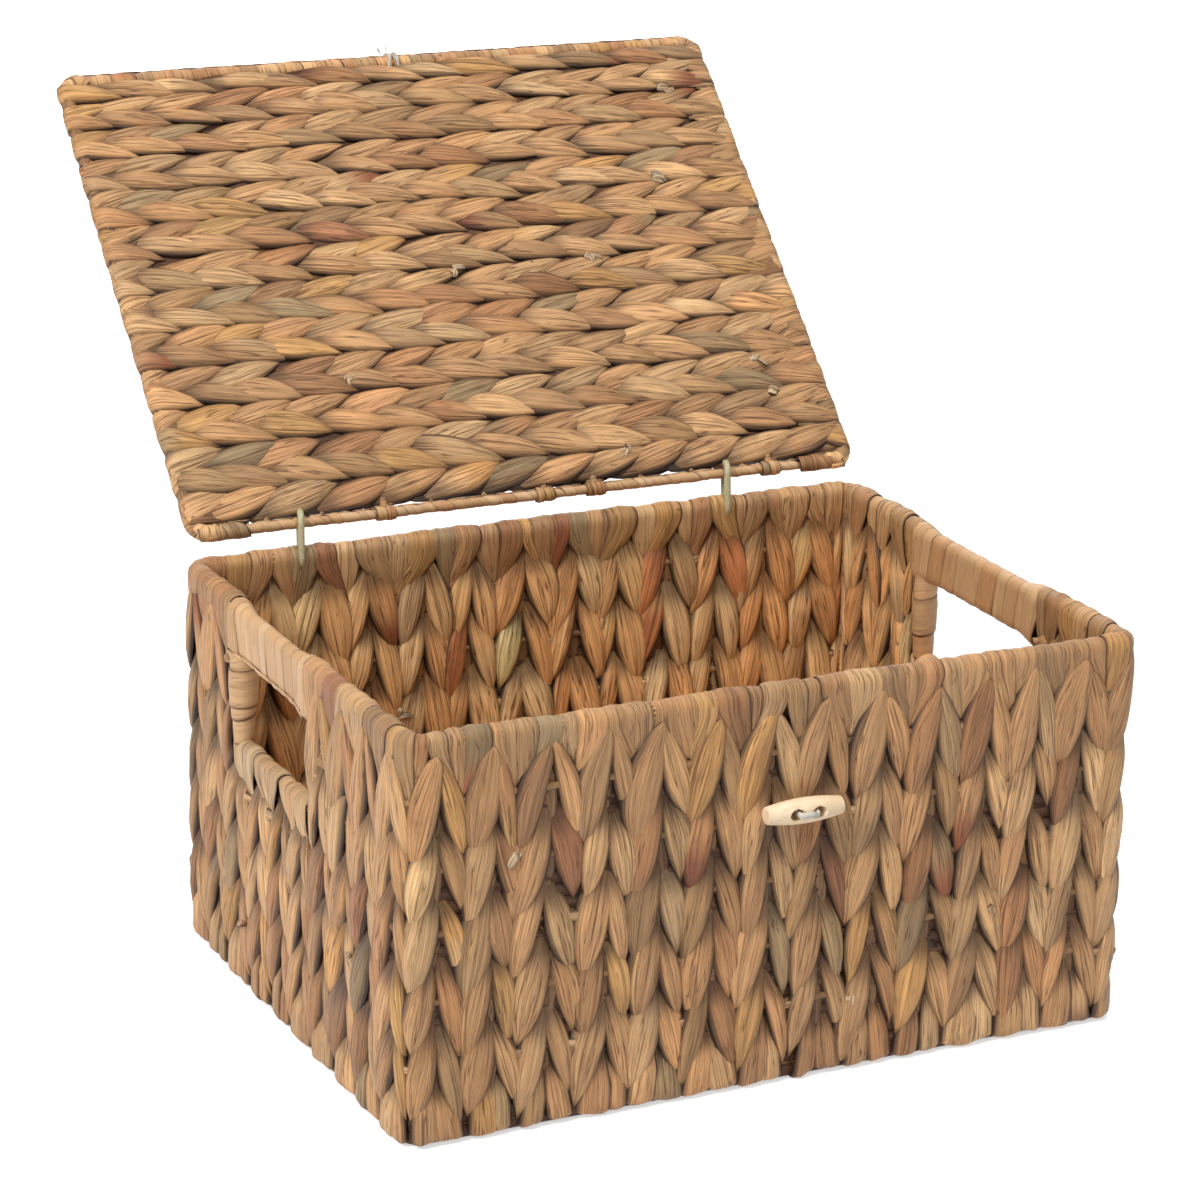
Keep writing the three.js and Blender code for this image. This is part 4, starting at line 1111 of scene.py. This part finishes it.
def wound(dice, bar, low, high, width, tones, calm=False, **turns):
    # one heap entry: bands wound on a bar, which is given as wrapSkin gives it
    surface, around = bar
    return onSurface(dice, windBands(dice, low, high, width, around, **turns), surface, tones, calm)


gripLook = {"lower": 1.2, "past": 4.0, "bandWidth": 12.5, "start": 0.91, "lean": 0.9,
            "thicker": (2.6, 20.0), "under": (3.6, 0.3, 3.0)}


def addGrips():
    dice = np.random.default_rng(14)
    look = gripLook
    for opening in openings:
        name = opening["name"]
        low, high = nodeBox(f"{name}_grip_wrap")
        middle, wide, tall = (low + high) / 2, high[0] - low[0], high[2] - low[2]
        surface, around = wrapSkin((middle[0], 0, middle[2]), (0, 1, 0), (opening["sign"], 0, 0), (0, 0, 1),
                                   wide / 2 - look["lower"], (tall - wide) / 2)
        bands = windBands(dice, low[1] - look["past"], high[1] + look["past"], look["bandWidth"], around,
                          start=look["start"], lean=look["lean"])
        near = np.minimum(bands["run"] - low[1], high[1] - bands["run"])
        # as thick as the rim at its ends, which go in under the rim's strips
        thicker, reach = look["thicker"]
        under, past, soft = look["under"]
        rise = thicker * ease(1 - near / reach) - under * ease((-near - past) / soft)
        bands["height"] = bands["height"] + rise
        heap = [onSurface(dice, bands, surface, peelTones, calm=True)]
        names = [f"{name}_grip_wrap", f"{name}_grip_core"]
        addPiece(f"{name}Grip", heap, peelLook, "basket", names)


# The wound post at the back of each opening, as bottom, top, radius, bandWidth and lean: the levels are
# from its foot or its head, and the left one is wound twice near the top
postLook = {
    "foot": (-2.0, 13.0, 5.4, 13.0, 0.5),
    "body": (12.0, 6.0, 6.3, 14.0, 0.5),
    "leftTop": (-22.0, -5.0, 7.3, 17.0, 0.1),
    "start": 0.3,
}


def addPosts():
    dice = np.random.default_rng(15)
    for opening in openings:
        name = opening["name"]
        low, high = nodeBox(f"{name}_jamb_wrap")
        place = ((low[0] + high[0]) / 2, opening["back"] + (high[0] - low[0]) / 2, 0)
        parts = [("foot", low[2], low[2]), ("body", low[2], high[2])]
        if name == "left":
            parts.append(("leftTop", high[2], high[2]))
        heap = []
        for part, under, over in parts:
            bottom, top, radius, width, lean = postLook[part]
            bar = wrapSkin(place, (0, 0, 1), (1, 0, 0), (0, 1, 0), radius)
            heap.append(wound(dice, bar, under + bottom, over + top, width, peelTones, True,
                              start=postLook["start"], lean=lean))
        addPiece(f"{name}Post", heap, peelLook, "basket", [f"{name}_jamb_wrap"])


rearLook = {"radius": 2.5, "bandWidth": 9.0, "lean": 1.0, "bindings": (-85.5, 7.0, 37.0, 143.5),
            "bindingHalf": 5.0, "bindingOut": 1.3, "bindingLean": 0.5, "tie": (2.5, 13.5, 5.5),
            "tieSection": (1.6, 1.5), "tieLean": 0.6, "cornerFrom": 163.0, "cornerInset": 9.0,
            "cornerRadius": 4.3, "cornerBand": 11.0, "cornerLean": 0.9, "bendLean": 0.3, "bendPast": 5.0}
frontLook = {"radius": 4.0, "bandWidth": 12.0, "reach": 185.0, "lean": 0.4, "lift": 0.2}


def lidBar(y, radius):
    return wrapSkin((0, y, 0), (1, 0, 0), (0, 1, 0), (0, 0, 1), radius, placed=fromLid)


def addLidEdges():
    dice = np.random.default_rng(16)
    look = rearLook
    heap = [wound(dice, lidBar(0, look["radius"]), -look["cornerFrom"], look["cornerFrom"],
                  look["bandWidth"], peelTones, True, lean=look["lean"])]
    names = [f"lid_rear_wrap_{side}" for side in ("left", "middle", "right")]
    addPiece("rearWinding", heap, peelLook, "lid", names)
    heap = []
    half = look["bindingHalf"]
    for place in look["bindings"]:
        heap.append(wound(dice, lidBar(0, look["radius"] + look["bindingOut"]), place - half, place + half,
                          half, outerTones, lean=look["bindingLean"]))
        tie = wrapSkin((place, 0, 0), (0, 1, 0), (1, 0, 0), (0, 0, 1), *look["tieSection"], fromLid)
        heap.append(wound(dice, tie, *look["tie"], outerTones, lean=look["tieLean"]))
    for sign in (-1, 1):
        ends = sorted((sign * look["cornerFrom"], sign * (lidLook["halfX"] - look["cornerInset"])))
        heap.append(wound(dice, lidBar(0, look["cornerRadius"]), *ends, look["cornerBand"], outerTones,
                          lean=look["cornerLean"]))
    addPiece("rearBindings", heap, strandLook, "lid")
    look = frontLook
    heap = [wound(dice, lidBar(lidLook["frontRodY"], look["radius"]), -look["reach"], look["reach"],
                  look["bandWidth"], outerTones, lean=look["lean"], lift=look["lift"])]
    addPiece("frontWinding", heap, bandLook, "lid", ["lid_front_wrap"])


def cornerSkin(centreX, centreY, startAngle, bend, radius):
    # a bar bent through a quarter turn; run is counted along its middle line
    def place(run, level, height):
        turn = level / radius
        angle = startAngle + run / bend
        out = bend + (radius + height) * np.cos(turn)
        return fromLid(joined(centreX + np.cos(angle) * out, centreY + np.sin(angle) * out,
                              (radius + height) * np.sin(turn)))

    return place, math.tau * radius


def addLidCorners():
    dice = np.random.default_rng(17)
    look, bend, past = rearLook, lidLook["cornerRadius"], rearLook["bendPast"]
    centreX = lidLook["halfX"] - lidLook["halfThick"] - bend
    frontY = lidLook["frontRodY"] - bend
    heap = []
    for sign, y, start in ((1, frontY, 0), (-1, frontY, 90), (-1, bend, 180), (1, bend, 270)):
        bar = cornerSkin(sign * centreX, y, math.radians(start), bend, look["cornerRadius"])
        heap.append(wound(dice, bar, -past, bend * math.pi / 2 + past, look["cornerBand"], outerTones,
                          lean=look["bendLean"]))
    addPiece("lidCorners", heap, bandLook, "lid")


# Crumpled ends of pith that stand out between the strands, and short bits of the wound hoops
pithShape = {**leafShape, "stations": 12, "top": 13, "blunt": (0.3, 0.3), "bulge": 1.7, "steep": 2.0,
             "fold": 1.3}
strawShape = {**leafShape, "stations": 8, "top": 9, "blunt": (0.25, 0.25), "bulge": 1.2, "fold": 0.15,
              "roll": 0.3}
pithLook = {
    "walls": 15,
    "lining": 6,
    "lid": 8,
    "pieces": 3,
    "apart": 1.5,
    "long": (5.0, 9.0),
    "wide": (3.5, 5.5),
    "lift": (0.0, 1.2),
    "heights": ((0, -0.6), (0.3, 1.3), (1, 0.52)),
    "below": 5.0,
    "scatter": 3.0,
    "lidReach": 170.0,
}
strawLook = {"share": 0.4, "below": 4.0, "scatter": 0.8, "long": 11.0, "wide": (4.5, 6.5),
             "heights": ((0, -2.0), (0.5, 0.5), (1, -2.0))}


def layPith(dice, places):
    # a few short pieces in a heap at each place
    look = pithLook
    places = np.repeat(places, look["pieces"], axis=0)
    count = len(places)
    places = places + dice.normal(0, look["apart"], (count, 2))
    turn = dice.uniform(0, math.tau, count)
    reach = dice.uniform(*look["long"], count)[:, None] * joined(np.cos(turn), np.sin(turn)) / 2
    width = dice.uniform(*look["wide"], count)
    return layLeaves(dice, places - reach, places + reach, width, look["heights"],
                     lift=dice.uniform(*look["lift"], count), shape=pithShape, hidden=0.0)


def layStraw(dice):
    # these show below some points of the chevrons
    look, columns, places = strawLook, np.arange(basketLook["columns"]), []
    for level in hoopLevels:
        picked = columns[dice.random(len(columns)) < look["share"]]
        places.append(joined(picked * columnPitch, level - look["below"]))
    places = np.vstack(places)
    places = places + dice.normal(0, look["scatter"], places.shape)
    half = (look["long"] / 2, 0)
    return layLeaves(dice, places - half, places + half, dice.uniform(*look["wide"], len(places)),
                     look["heights"], shape=strawShape, hidden=0.0)


def addPith():
    dice = np.random.default_rng(77)
    look = pithLook
    levels = np.array(basketLook["tipLevels"])
    heap = []
    for surface, count in ((outerSkin, look["walls"]), (innerSkin, look["lining"])):
        column = dice.integers(0, basketLook["columns"], count)
        level = levels[dice.integers(0, len(levels) - 1, count)]
        places = joined(column * columnPitch, level - look["below"])
        places = places + scatter(dice, count, look["scatter"], look["scatter"])
        heap.append(onSurface(dice, clearOfOpenings(layPith(dice, places)), surface, pithTones))
        heap.append(onSurface(dice, clearOfOpenings(layStraw(dice)), surface, peelTones))
    addPiece("wallPith", heap, strandLook, "basket")
    middle = halfway(lidEdges())[dice.integers(0, lidLook["rows"], look["lid"])]
    across = dice.uniform(-look["lidReach"], look["lidReach"], look["lid"])
    places = joined(across, middle + dice.normal(0, look["scatter"], look["lid"]))
    heap = [onSurface(dice, layPith(dice, places), lidSkin(True), pithTones)]
    addPiece("lidPith", heap, strandLook, "lid")


addPith()
addGrips()
addPosts()
addLidEdges()
addLidCorners()
print("scene: windings")


# Cords, string and wire: a section swept along a line of points
def sweepLine(path, halfWide, halfThick, upright=(0, 0, 1), around=12, closed=False):
    if closed:
        heading = np.roll(path, -1, axis=0) - np.roll(path, 1, axis=0)
    else:
        heading = np.gradient(path, axis=0)
    heading = heading / np.linalg.norm(heading, axis=1)[:, None]
    side = np.cross(heading, upright)
    side = side / np.linalg.norm(side, axis=1)[:, None]
    up = np.cross(side, heading)
    turn = circle(around)
    wide, thick = (np.broadcast_to(half, len(path))[:, None] for half in (halfWide, halfThick))
    across, over = (wide * np.cos(turn))[..., None], (thick * np.sin(turn))[..., None]
    rings = path[:, None] + side[:, None] * across + up[:, None] * over
    passed = np.concatenate([[0], np.cumsum(np.linalg.norm(np.diff(path, axis=0), axis=1))])
    return rings[None], joined(turn, passed[:, None])[None], closed


def stringPiece(name, lines, material, body, colour, replaced=()):
    heap = [(rings, grain, linear(colour), 0.0, closed) for rings, grain, closed in lines]
    return addPiece(name, heap, material, body, replaced)


stringFinish = {"colour": (232, 226, 214), "shadow": (176, 166, 148), "lays": 1.5, "pitch": 1.7,
                "hairs": (5.0, 5.0), "hairShare": 0.5, "span": (0.2, 0.9), "roughness": 0.9,
                "specular": 0.2, "bumpStrength": 0.8, "bumpDepth": 0.00025}
cordFinish = {**stringFinish, "wave": (260.0, 2.0, 2.0), "hairs": (4000.0, 3.0), "span": (0.2, 1.1)}


def slantLays(tree, grain, look):  # they run slantwise round a string: the grain holds its turn and length
    parts = addNode(tree, "SeparateXYZ", {0: grain}).outputs
    slant = maths(tree, "ADD", maths(tree, "MULTIPLY", parts["X"], look["lays"]),
                  maths(tree, "MULTIPLY", parts["Y"], math.tau / look["pitch"]))
    return maths(tree, "ABSOLUTE", maths(tree, "SINE", slant))


def waveLays(tree, place, look):  # for a curve, which has no grain of its own
    scale, bend, detail = look["wave"]
    wave = {"Vector": place, "Scale": scale, "Distortion": bend, "Detail": detail}
    return addNode(tree, "TexWave", wave, bands_direction="DIAGONAL").outputs["Fac"]


def stringMaterial(name, look):
    material, tree, shader = newMaterial(name)
    if "wave" in look:
        place = addNode(tree, "TexCoord").outputs["Object"]
        lay = waveLays(tree, place, look)
    else:
        place = addNode(tree, "UVMap", uv_map="grain").outputs["UV"]
        lay = slantLays(tree, place, look)
    hairs = maths(tree, "MULTIPLY", addNoise(tree, place, *look["hairs"]), look["hairShare"])
    raised = maths(tree, "ADD", lay, hairs)
    light = spread(tree, raised, *look["span"])
    setInputs(tree, shader, {
        "Base Color": blendColour(tree, light, paint(look["shadow"]), paint(look["colour"])),
        "Roughness": look["roughness"],
        "Specular IOR Level": look["specular"],
        "Normal": addBump(tree, raised, look["bumpStrength"], look["bumpDepth"])})
    return material


stringLook = stringMaterial("flatString", stringFinish)
cordLook = stringMaterial("loopCord", cordFinish)

# The closing loop hangs from its knot. Its half route is across and down from the knot's middle
loopLook = {
    "across": 1.6,
    "knotOut": 289.2,
    "knotIn": -5.1,
    "radius": 1.0,
    "length": 136.1,
    "halfRoute": [(2.2, -3.4), (2.3, -8), (2.9, -13), (3.8, -18.5), (4.7, -24), (5.4, -29.5), (5.8, -35),
                  (6.1, -40.5), (6.3, -46), (6.4, -51.5), (6.4, -57), (6, -61.5), (4.4, -65.6),
                  (1.6, -67.8)],
    "steps": 6,
}


def smoothLine(points, steps):
    # the centripetal curve through the points, which its solid follows too
    points = np.vstack([2 * points[0] - points[1], points, 2 * points[-1] - points[-2]])
    share = np.linspace(0, 1, steps, endpoint=False)[:, None]
    line = []
    for four in zip(points, points[1:], points[2:], points[3:]):
        times = np.concatenate([[0], np.cumsum(np.linalg.norm(np.diff(four, axis=0), axis=1) ** 0.5)])
        time = times[1] + share * (times[2] - times[1])

        def between(first, second, start, end):
            passed = (time - times[start]) / (times[end] - times[start])
            return first * (1 - passed) + second * passed

        near = [between(four[place], four[place + 1], place, place + 1) for place in range(3)]
        far = [between(near[place], near[place + 1], place, place + 2) for place in range(2)]
        line.append(between(far[0], far[1], 1, 2))
    return np.vstack([*line, points[-2][None]])


def addLoop(look):
    knot = fromLid((look["across"], look["knotOut"], look["knotIn"]))
    route = [(-across, down) for across, down in look["halfRoute"]] + look["halfRoute"][::-1]
    line = smoothLine(np.array([knot + (across, 0, down) for across, down in route]), look["steps"]) * mm
    data = bpy.data.curves.new("closingLoop", "CURVE")
    data.dimensions = "3D"
    data.bevel_depth = look["radius"] * mm
    data.bevel_resolution = 4
    data.use_fill_caps = True
    spline = data.splines.new("POLY")
    spline.points.add(len(line) - 1)
    spline.points.foreach_set("co", np.concatenate([line, np.ones((len(line), 1))], 1).ravel())
    spline.use_smooth = True
    cord = addObject("closingLoop", data)
    data.materials.append(cordLook)
    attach(cord, "loop")
    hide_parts("closing_loop")


# The knot: a lump, flat string round the lid's front edge, crossed on the face that shows, and two tufts.
# Each band is where it starts and is halfway, along the edge, and how far out it lies
knotLook = {
    "stringRadius": 1.15,
    "stringFlat": 0.85,
    "lumpHalf": (5.0, 2.1, 2.1),
    "lumpInset": 0.9,
    "bandHalf": (1.5, 0.42),
    "barRadius": 4.7,
    "bandsFrom": -0.6,
    "bandSquash": 0.96,
    "bandLift": 0.2,
    "bands": ((-3.6, 3.2, 0), (3.4, -3.0, 0.5), (-1.4, -1.9, 0.25), (2.9, 2.6, 0.7)),
    "tuftFibres": 9,
    "tuftAt": (-4.0, 3.6, 3.0),
    "tuftReach": (5.0, 8.5),
    "tuftLean": 0.16,
    "tuftApart": (1.1, 2.4, 1.3),
    "tuftRise": (0.86, 0.42, 1.4),
    "fibreRadius": 0.2,
    "fibreThinning": 0.7,
    "lumpSteps": 72,
    "bandSteps": 44,
    "tuftSteps": 9,
    "tuftSides": 5,
}


def addKnot(look):
    dice = np.random.default_rng(3)
    turn = circle(look["lumpSteps"])
    lump = joined((np.sin(turn) + 2 * np.sin(2 * turn)) / 3, (np.cos(turn) - 2 * np.cos(2 * turn)) / 3,
                  -np.sin(3 * turn))
    lump = lump * (np.array(look["lumpHalf"]) - look["stringRadius"] * look["lumpInset"])
    middle = (loopLook["across"], loopLook["knotOut"], loopLook["knotIn"])
    wide, thick = look["stringRadius"], look["stringRadius"] * look["stringFlat"]
    lines = [sweepLine(fromLid(middle + lump), wide, thick, (0, -1, 1), closed=True)]
    share = np.linspace(0, 1, look["bandSteps"], endpoint=False)
    around = share * math.tau + look["bandsFrom"]
    for start, end, out in look["bands"]:
        across = loopLook["across"] + start + (end - start) * (1 - np.cos(math.tau * share)) / 2
        out = look["barRadius"] + out
        path = joined(across, lidLook["frontRodY"] + out * np.cos(around) * look["bandSquash"],
                      out * np.sin(around) + look["bandLift"])
        lines.append(sweepLine(fromLid(path), *look["bandHalf"], (1, 0, 0), closed=True))
    share = np.linspace(0, 1, look["tuftSteps"])
    thin = look["fibreRadius"] * (1 - look["fibreThinning"] * share)
    aside, out, up = look["tuftAt"]
    apart, further, spreading = look["tuftApart"]
    outward, upward, curling = look["tuftRise"]
    for side in np.repeat((-1, 1), look["tuftFibres"]):
        reach = dice.uniform(*look["tuftReach"])
        lean = dice.normal(0, look["tuftLean"], 2)
        across = side * (apart + further * share ** spreading) + reach * lean[0] * share ** 2
        path = joined(loopLook["across"] + aside + across,
                      lidLook["frontRodY"] + out + reach * share * outward,
                      up + reach * (upward + lean[1]) * share ** curling)
        lines.append(sweepLine(fromLid(path), thin, thin, (1, 0, 0.3), look["tuftSides"]))
    stringPiece("loopKnot", lines, stringLook, "lid", stringFinish["colour"], ["loop_knot"])


# The wire rings of the hinges
ringLook = {"colour": (192, 184, 144), "worn": (166, 156, 118), "roughness": 0.42, "patches": 900.0,
            "bumpDepth": 0.0001, "sides": 16, "straight": 16, "bend": 28, "thicker": 0.3, "turn": 17.0}
wornLook = {"detail": 5.0, "span": (0.35, 0.6), "roughSpan": (0.3, 0.7), "roughUneven": 0.1,
            "bumpStrength": 0.5}


def plainMaterial(name, look):
    # a smooth surface with patches of its second colour: wear on the rings, painted shade on the rods
    material, tree, shader = newMaterial(name)
    place = addNode(tree, "TexCoord").outputs["Object"]
    patches = addNoise(tree, place, look["patches"], wornLook["detail"])
    fresh = spread(tree, patches, *wornLook["span"])
    rough, uneven = look["roughness"], wornLook["roughUneven"]
    setInputs(tree, shader, {
        "Base Color": blendColour(tree, fresh, paint(look["worn"]), paint(look["colour"])),
        "Roughness": spread(tree, patches, *wornLook["roughSpan"], rough + uneven, rough - uneven),
        "Normal": addBump(tree, patches, wornLook["bumpStrength"], look["bumpDepth"])})
    return material


def addRings(look):
    material = plainMaterial("coatedWire", look)
    hinged = hingePlace[1:]
    for side in ("left", "right"):
        low, high = nodeBox(f"hinge_ring_{side}")
        wire = (high[0] - low[0]) / 2
        middle = (high + low) / 2
        rod = middle[1:]
        lean = 2 * (hinged - rod)
        # two half rounds, about the lid's rear rod and about the rim rod
        out = (high[2] - low[2] - abs(lean[1])) / 2 - wire
        facing = math.atan2(lean[1], lean[0])
        ends = []
        for centre, start in ((hinged, facing - math.pi / 2), (hinged - lean, facing + math.pi / 2)):
            turn = start + np.linspace(0, math.pi, look["bend"])
            ends.append(centre + out * joined(np.cos(turn), np.sin(turn)))
        steps = np.linspace(0, 1, look["straight"], endpoint=False)[1:, None]
        path = np.vstack([ends[0], ends[0][-1] + (ends[1][0] - ends[0][-1]) * steps,
                          ends[1], ends[1][-1] + (ends[0][0] - ends[1][-1]) * steps])
        # each ring hangs a little askew on its rods
        turn = math.radians(look["turn"])
        aside = path[:, 0] - rod[0]
        path = joined(middle[0] + aside * math.sin(turn), rod[0] + aside * math.cos(turn), path[:, 1])
        wire += look["thicker"]
        lines = [sweepLine(path, wire, wire, (1, 0, 0), look["sides"], True)]
        stringPiece(f"ring{side.capitalize()}", lines, material, "basket", look["colour"],
                    [f"hinge_ring_{side}"])


# The toggle: a turned barrel with two holes, and the flat cord through them
toggleLook = {
    "length": 41.0,
    "radius": 6.25,
    "endRadius": 4.2,
    "taper": 0.85,
    "endRound": 0.9,
    "endHollow": 0.6,
    "holeSpacing": 12.0,
    "holeHalf": (3.4, 2.9),
    "holeReach": 1.4,
    "holeEase": 0.8,
    "easeDeep": (0.3, 1.4),
    "cordSpacing": 9.4,
    "cordHalf": (1.65, 0.8),
    "cordOff": 0.3,
    "cordBend": 1.4,
    "shankRadius": 1.7,
    "shankShort": 0.4,
    "colour": (241, 218, 184),
    "worn": (231, 203, 164),
    "grain": (210, 174, 130),
    "grainScale": (40, 700, 700),
    "grainSpan": (0.58, 0.8, 0.0, 0.6),
    "patches": (120.0, 2.0),
    "patchSpan": (0.4, 0.65),
    "roughness": 0.46,
    "bumpStrength": 0.3,
    "bumpDepth": 0.0002,
    "sides": 48,
    "stations": 41,
    "holeSteps": 57,
    "bendSteps": 7,
    "cordSides": 16,
    "shankSteps": 12,
}


def woodMaterial(name, look):
    material, tree, shader = newMaterial(name)
    place = addNode(tree, "TexCoord").outputs["Object"]
    drawn = addNode(tree, "Mapping", {"Vector": place, "Scale": look["grainScale"]}).outputs["Vector"]
    lines = addNoise(tree, drawn, 1.0, 5.0)
    patches = spread(tree, addNoise(tree, place, *look["patches"]), *look["patchSpan"])
    colour = blendColour(tree, patches, paint(look["colour"]), paint(look["worn"]))
    colour = blendColour(tree, spread(tree, lines, *look["grainSpan"]), colour, paint(look["grain"]))
    setInputs(tree, shader, {"Base Color": colour, "Roughness": look["roughness"],
                             "Normal": addBump(tree, lines, look["bumpStrength"], look["bumpDepth"])})
    return material


def carve(piece, cutters):
    # cuts closed shapes out of a piece and keeps its material
    tool = meshPiece("carver", cutters)
    change = piece.modifiers.new("holes", "BOOLEAN")
    change.operation, change.solver, change.object = "DIFFERENCE", "EXACT", tool
    cut = bpy.data.meshes.new_from_object(piece.evaluated_get(bpy.context.evaluated_depsgraph_get()))
    piece.modifiers.clear()
    piece.data = cut
    bpy.data.objects.remove(tool)


def addToggle(look):
    low, high = nodeBox("toggle_button")
    middle = (low + high) / 2
    half, radius, rounding = look["length"] / 2, look["radius"], look["endRound"]
    noGrain = np.zeros((1, 1, 1, 2))
    angle = circle(look["sides"])

    along = np.linspace(-1, 1, look["stations"]) * (half - rounding)
    fuller = np.cos(along / half * math.pi / 2) ** look["taper"]
    out = look["endRadius"] + (radius - look["endRadius"]) * fuller
    turn = np.linspace(0, math.pi / 2, 6)[1:-1]
    capAlong = np.concatenate([[half], half - rounding + rounding * np.cos(turn)])
    capOut = out[0] - rounding + np.concatenate([[-look["endHollow"]], rounding * np.sin(turn)])
    along = np.concatenate([-capAlong, along, capAlong[::-1]])[:, None]
    out = np.concatenate([capOut, out, capOut[::-1]])[:, None]
    rings = middle + joined(along, out * np.cos(angle), out * np.sin(angle))
    barrel = stringPiece("toggleButton", [(rings[None], noGrain, False)], woodMaterial("paleWood", look),
                         "toggle", look["colour"], ["toggle_button"])

    depth = np.linspace(-1, 1, look["holeSteps"])[:, None] * look["holeReach"] * radius
    off, deep = look["easeDeep"]
    flare = look["holeEase"] * np.clip((np.abs(depth) - radius + off + deep) / deep, 0, 2) ** 2
    wide, tall = look["holeHalf"]
    cutters = []
    for sign in (-1, 1):
        hole = joined(sign * look["holeSpacing"] / 2 + (wide + flare) * np.cos(angle), depth,
                      (tall + flare) * np.sin(angle))
        cutters.append(((middle + hole)[None], noGrain, 1.0, 0.0, False))
    carve(barrel, cutters)

    wide, thick = look["cordHalf"]
    halfDeep = radius + thick + look["cordOff"]
    bend = look["cordBend"]
    path = []
    for index, (signX, signY) in enumerate(((1, -1), (1, 1), (-1, 1), (-1, -1))):
        swing = (index - 1) * math.pi / 2 + np.linspace(0, math.pi / 2, look["bendSteps"])
        path.append(joined(signX * (look["cordSpacing"] / 2 - bend) + bend * np.cos(swing),
                           signY * (halfDeep - bend) + bend * np.sin(swing), 0))
    path = middle + np.vstack(path)
    share = np.linspace(0, 1, 3, endpoint=False)[:, None]
    path = np.vstack([first + (second - first) * share
                      for first, second in zip(path, np.roll(path, -1, axis=0))])
    back = nodeBox("toggle_cord")[1][1] - look["shankShort"]
    shank = np.linspace(middle + (0, halfDeep, 0), (middle[0], back, middle[2]), look["shankSteps"])
    lines = [sweepLine(path, thick, wide, around=look["cordSides"], closed=True),
             sweepLine(shank, look["shankRadius"], look["shankRadius"])]
    stringPiece("toggleCord", lines, stringLook, "toggle", stringFinish["colour"], ["toggle_cord"])


# Rods of the frame stay as they are, in the wound straw that shows in the gaps; both its colours are taken
# darker, towards the strands' shadow colour, as painted shade
rodLook = {"colour": (182, 142, 96), "worn": (124, 84, 50), "roughness": 0.6, "patches": 420.0,
           "bumpDepth": 0.0003}


def dressRods(look):
    material = plainMaterial("woundStraw", look)
    for node in frame["nodes"].values():
        if not node.hide_render:
            node.data.materials.clear()
            node.data.materials.append(material)


addLoop(loopLook)
addKnot(knotLook)
addRings(ringLook)
addToggle(toggleLook)
print("scene: cord, knot, rings and toggle")
dressRods(rodLook)
print("scene: rods")

# Stage: a pale floor that keeps the shadow, and soft studio light. Its lengths are metres
stageLook = {"floorSize": 14.0, "floorColour": (0.82, 0.82, 0.84), "floorRough": 0.9, "floorGlow": 0.58,
             "glowSpan": (0.8, 2.6), "worldStrength": 0.20, "lampAim": (0, 0, 0.15)}
lampLook = {
    "key": {"place": (-2.8, -1.2, 2.6), "size": 1.3, "power": 100.0},
    "fill": {"place": (2.4, -2.2, 1.8), "size": 2.4, "power": 6.0},
    "top": {"place": (0.2, -0.6, 3.4), "size": 1.6, "power": 58.0},
    "back": {"place": (0.8, 2.7, 1.5), "size": 2.2, "power": 26.0},
}


def seenDirectly(tree):  # 1 for what the camera sees, in a mirror or through glass too, else 0
    rays = addNode(tree, "LightPath").outputs
    seen = maths(tree, "MAXIMUM", rays["Is Camera Ray"], rays["Is Glossy Ray"])
    return maths(tree, "MAXIMUM", seen, rays["Is Transmission Ray"])


def floorMaterial(look):
    material, tree, shader = newMaterial("paleFloor")
    place = addNode(tree, "TexCoord").outputs["Object"]
    away = addNode(tree, "VectorMath", {0: place}, operation="LENGTH").outputs["Value"]
    glow = spread(tree, away, *look["glowSpan"], look["floorGlow"], 1.0)  # white far from the lamps too
    setInputs(tree, shader, {
        "Base Color": (*look["floorColour"], 1),
        "Roughness": look["floorRough"],
        "Emission Color": (1, 1, 1, 1),
        "Emission Strength": maths(tree, "MULTIPLY", seenDirectly(tree), glow)})
    return material


def addStage(look):
    half = look["floorSize"] / 2
    mesh = bpy.data.meshes.new("floor")
    mesh.from_pydata([(-half, -half, 0), (half, -half, 0), (half, half, 0), (-half, half, 0)], [],
                     [(0, 1, 2, 3)])
    mesh.materials.append(floorMaterial(look))
    addObject("floor", mesh)
    world = bpy.data.worlds.new("studio")
    bpy.context.scene.world = world
    world.use_nodes = True
    tree = world.node_tree
    tree.nodes.clear()
    strength = spread(tree, seenDirectly(tree), 0.0, 1.0, look["worldStrength"], 1.0)
    light = addNode(tree, "Background", {"Color": (1, 1, 1, 1), "Strength": strength})
    addNode(tree, "OutputWorld", {"Surface": light.outputs["Background"]})


def addLamps(aim):
    for name, look in lampLook.items():
        data = bpy.data.lights.new(name, "AREA")
        data.shape, data.size, data.energy = "DISK", look["size"], look["power"]
        place = Vector(look["place"])
        turn = (place - Vector(aim)).to_track_quat("Z", "Y")
        addObject(name, data).matrix_world = Matrix.Translation(place) @ turn.to_matrix().to_4x4()


addStage(stageLook)
addLamps(stageLook["lampAim"])
bpy.context.scene.view_settings.view_transform = "Standard"
print("scene: stage and lamps")
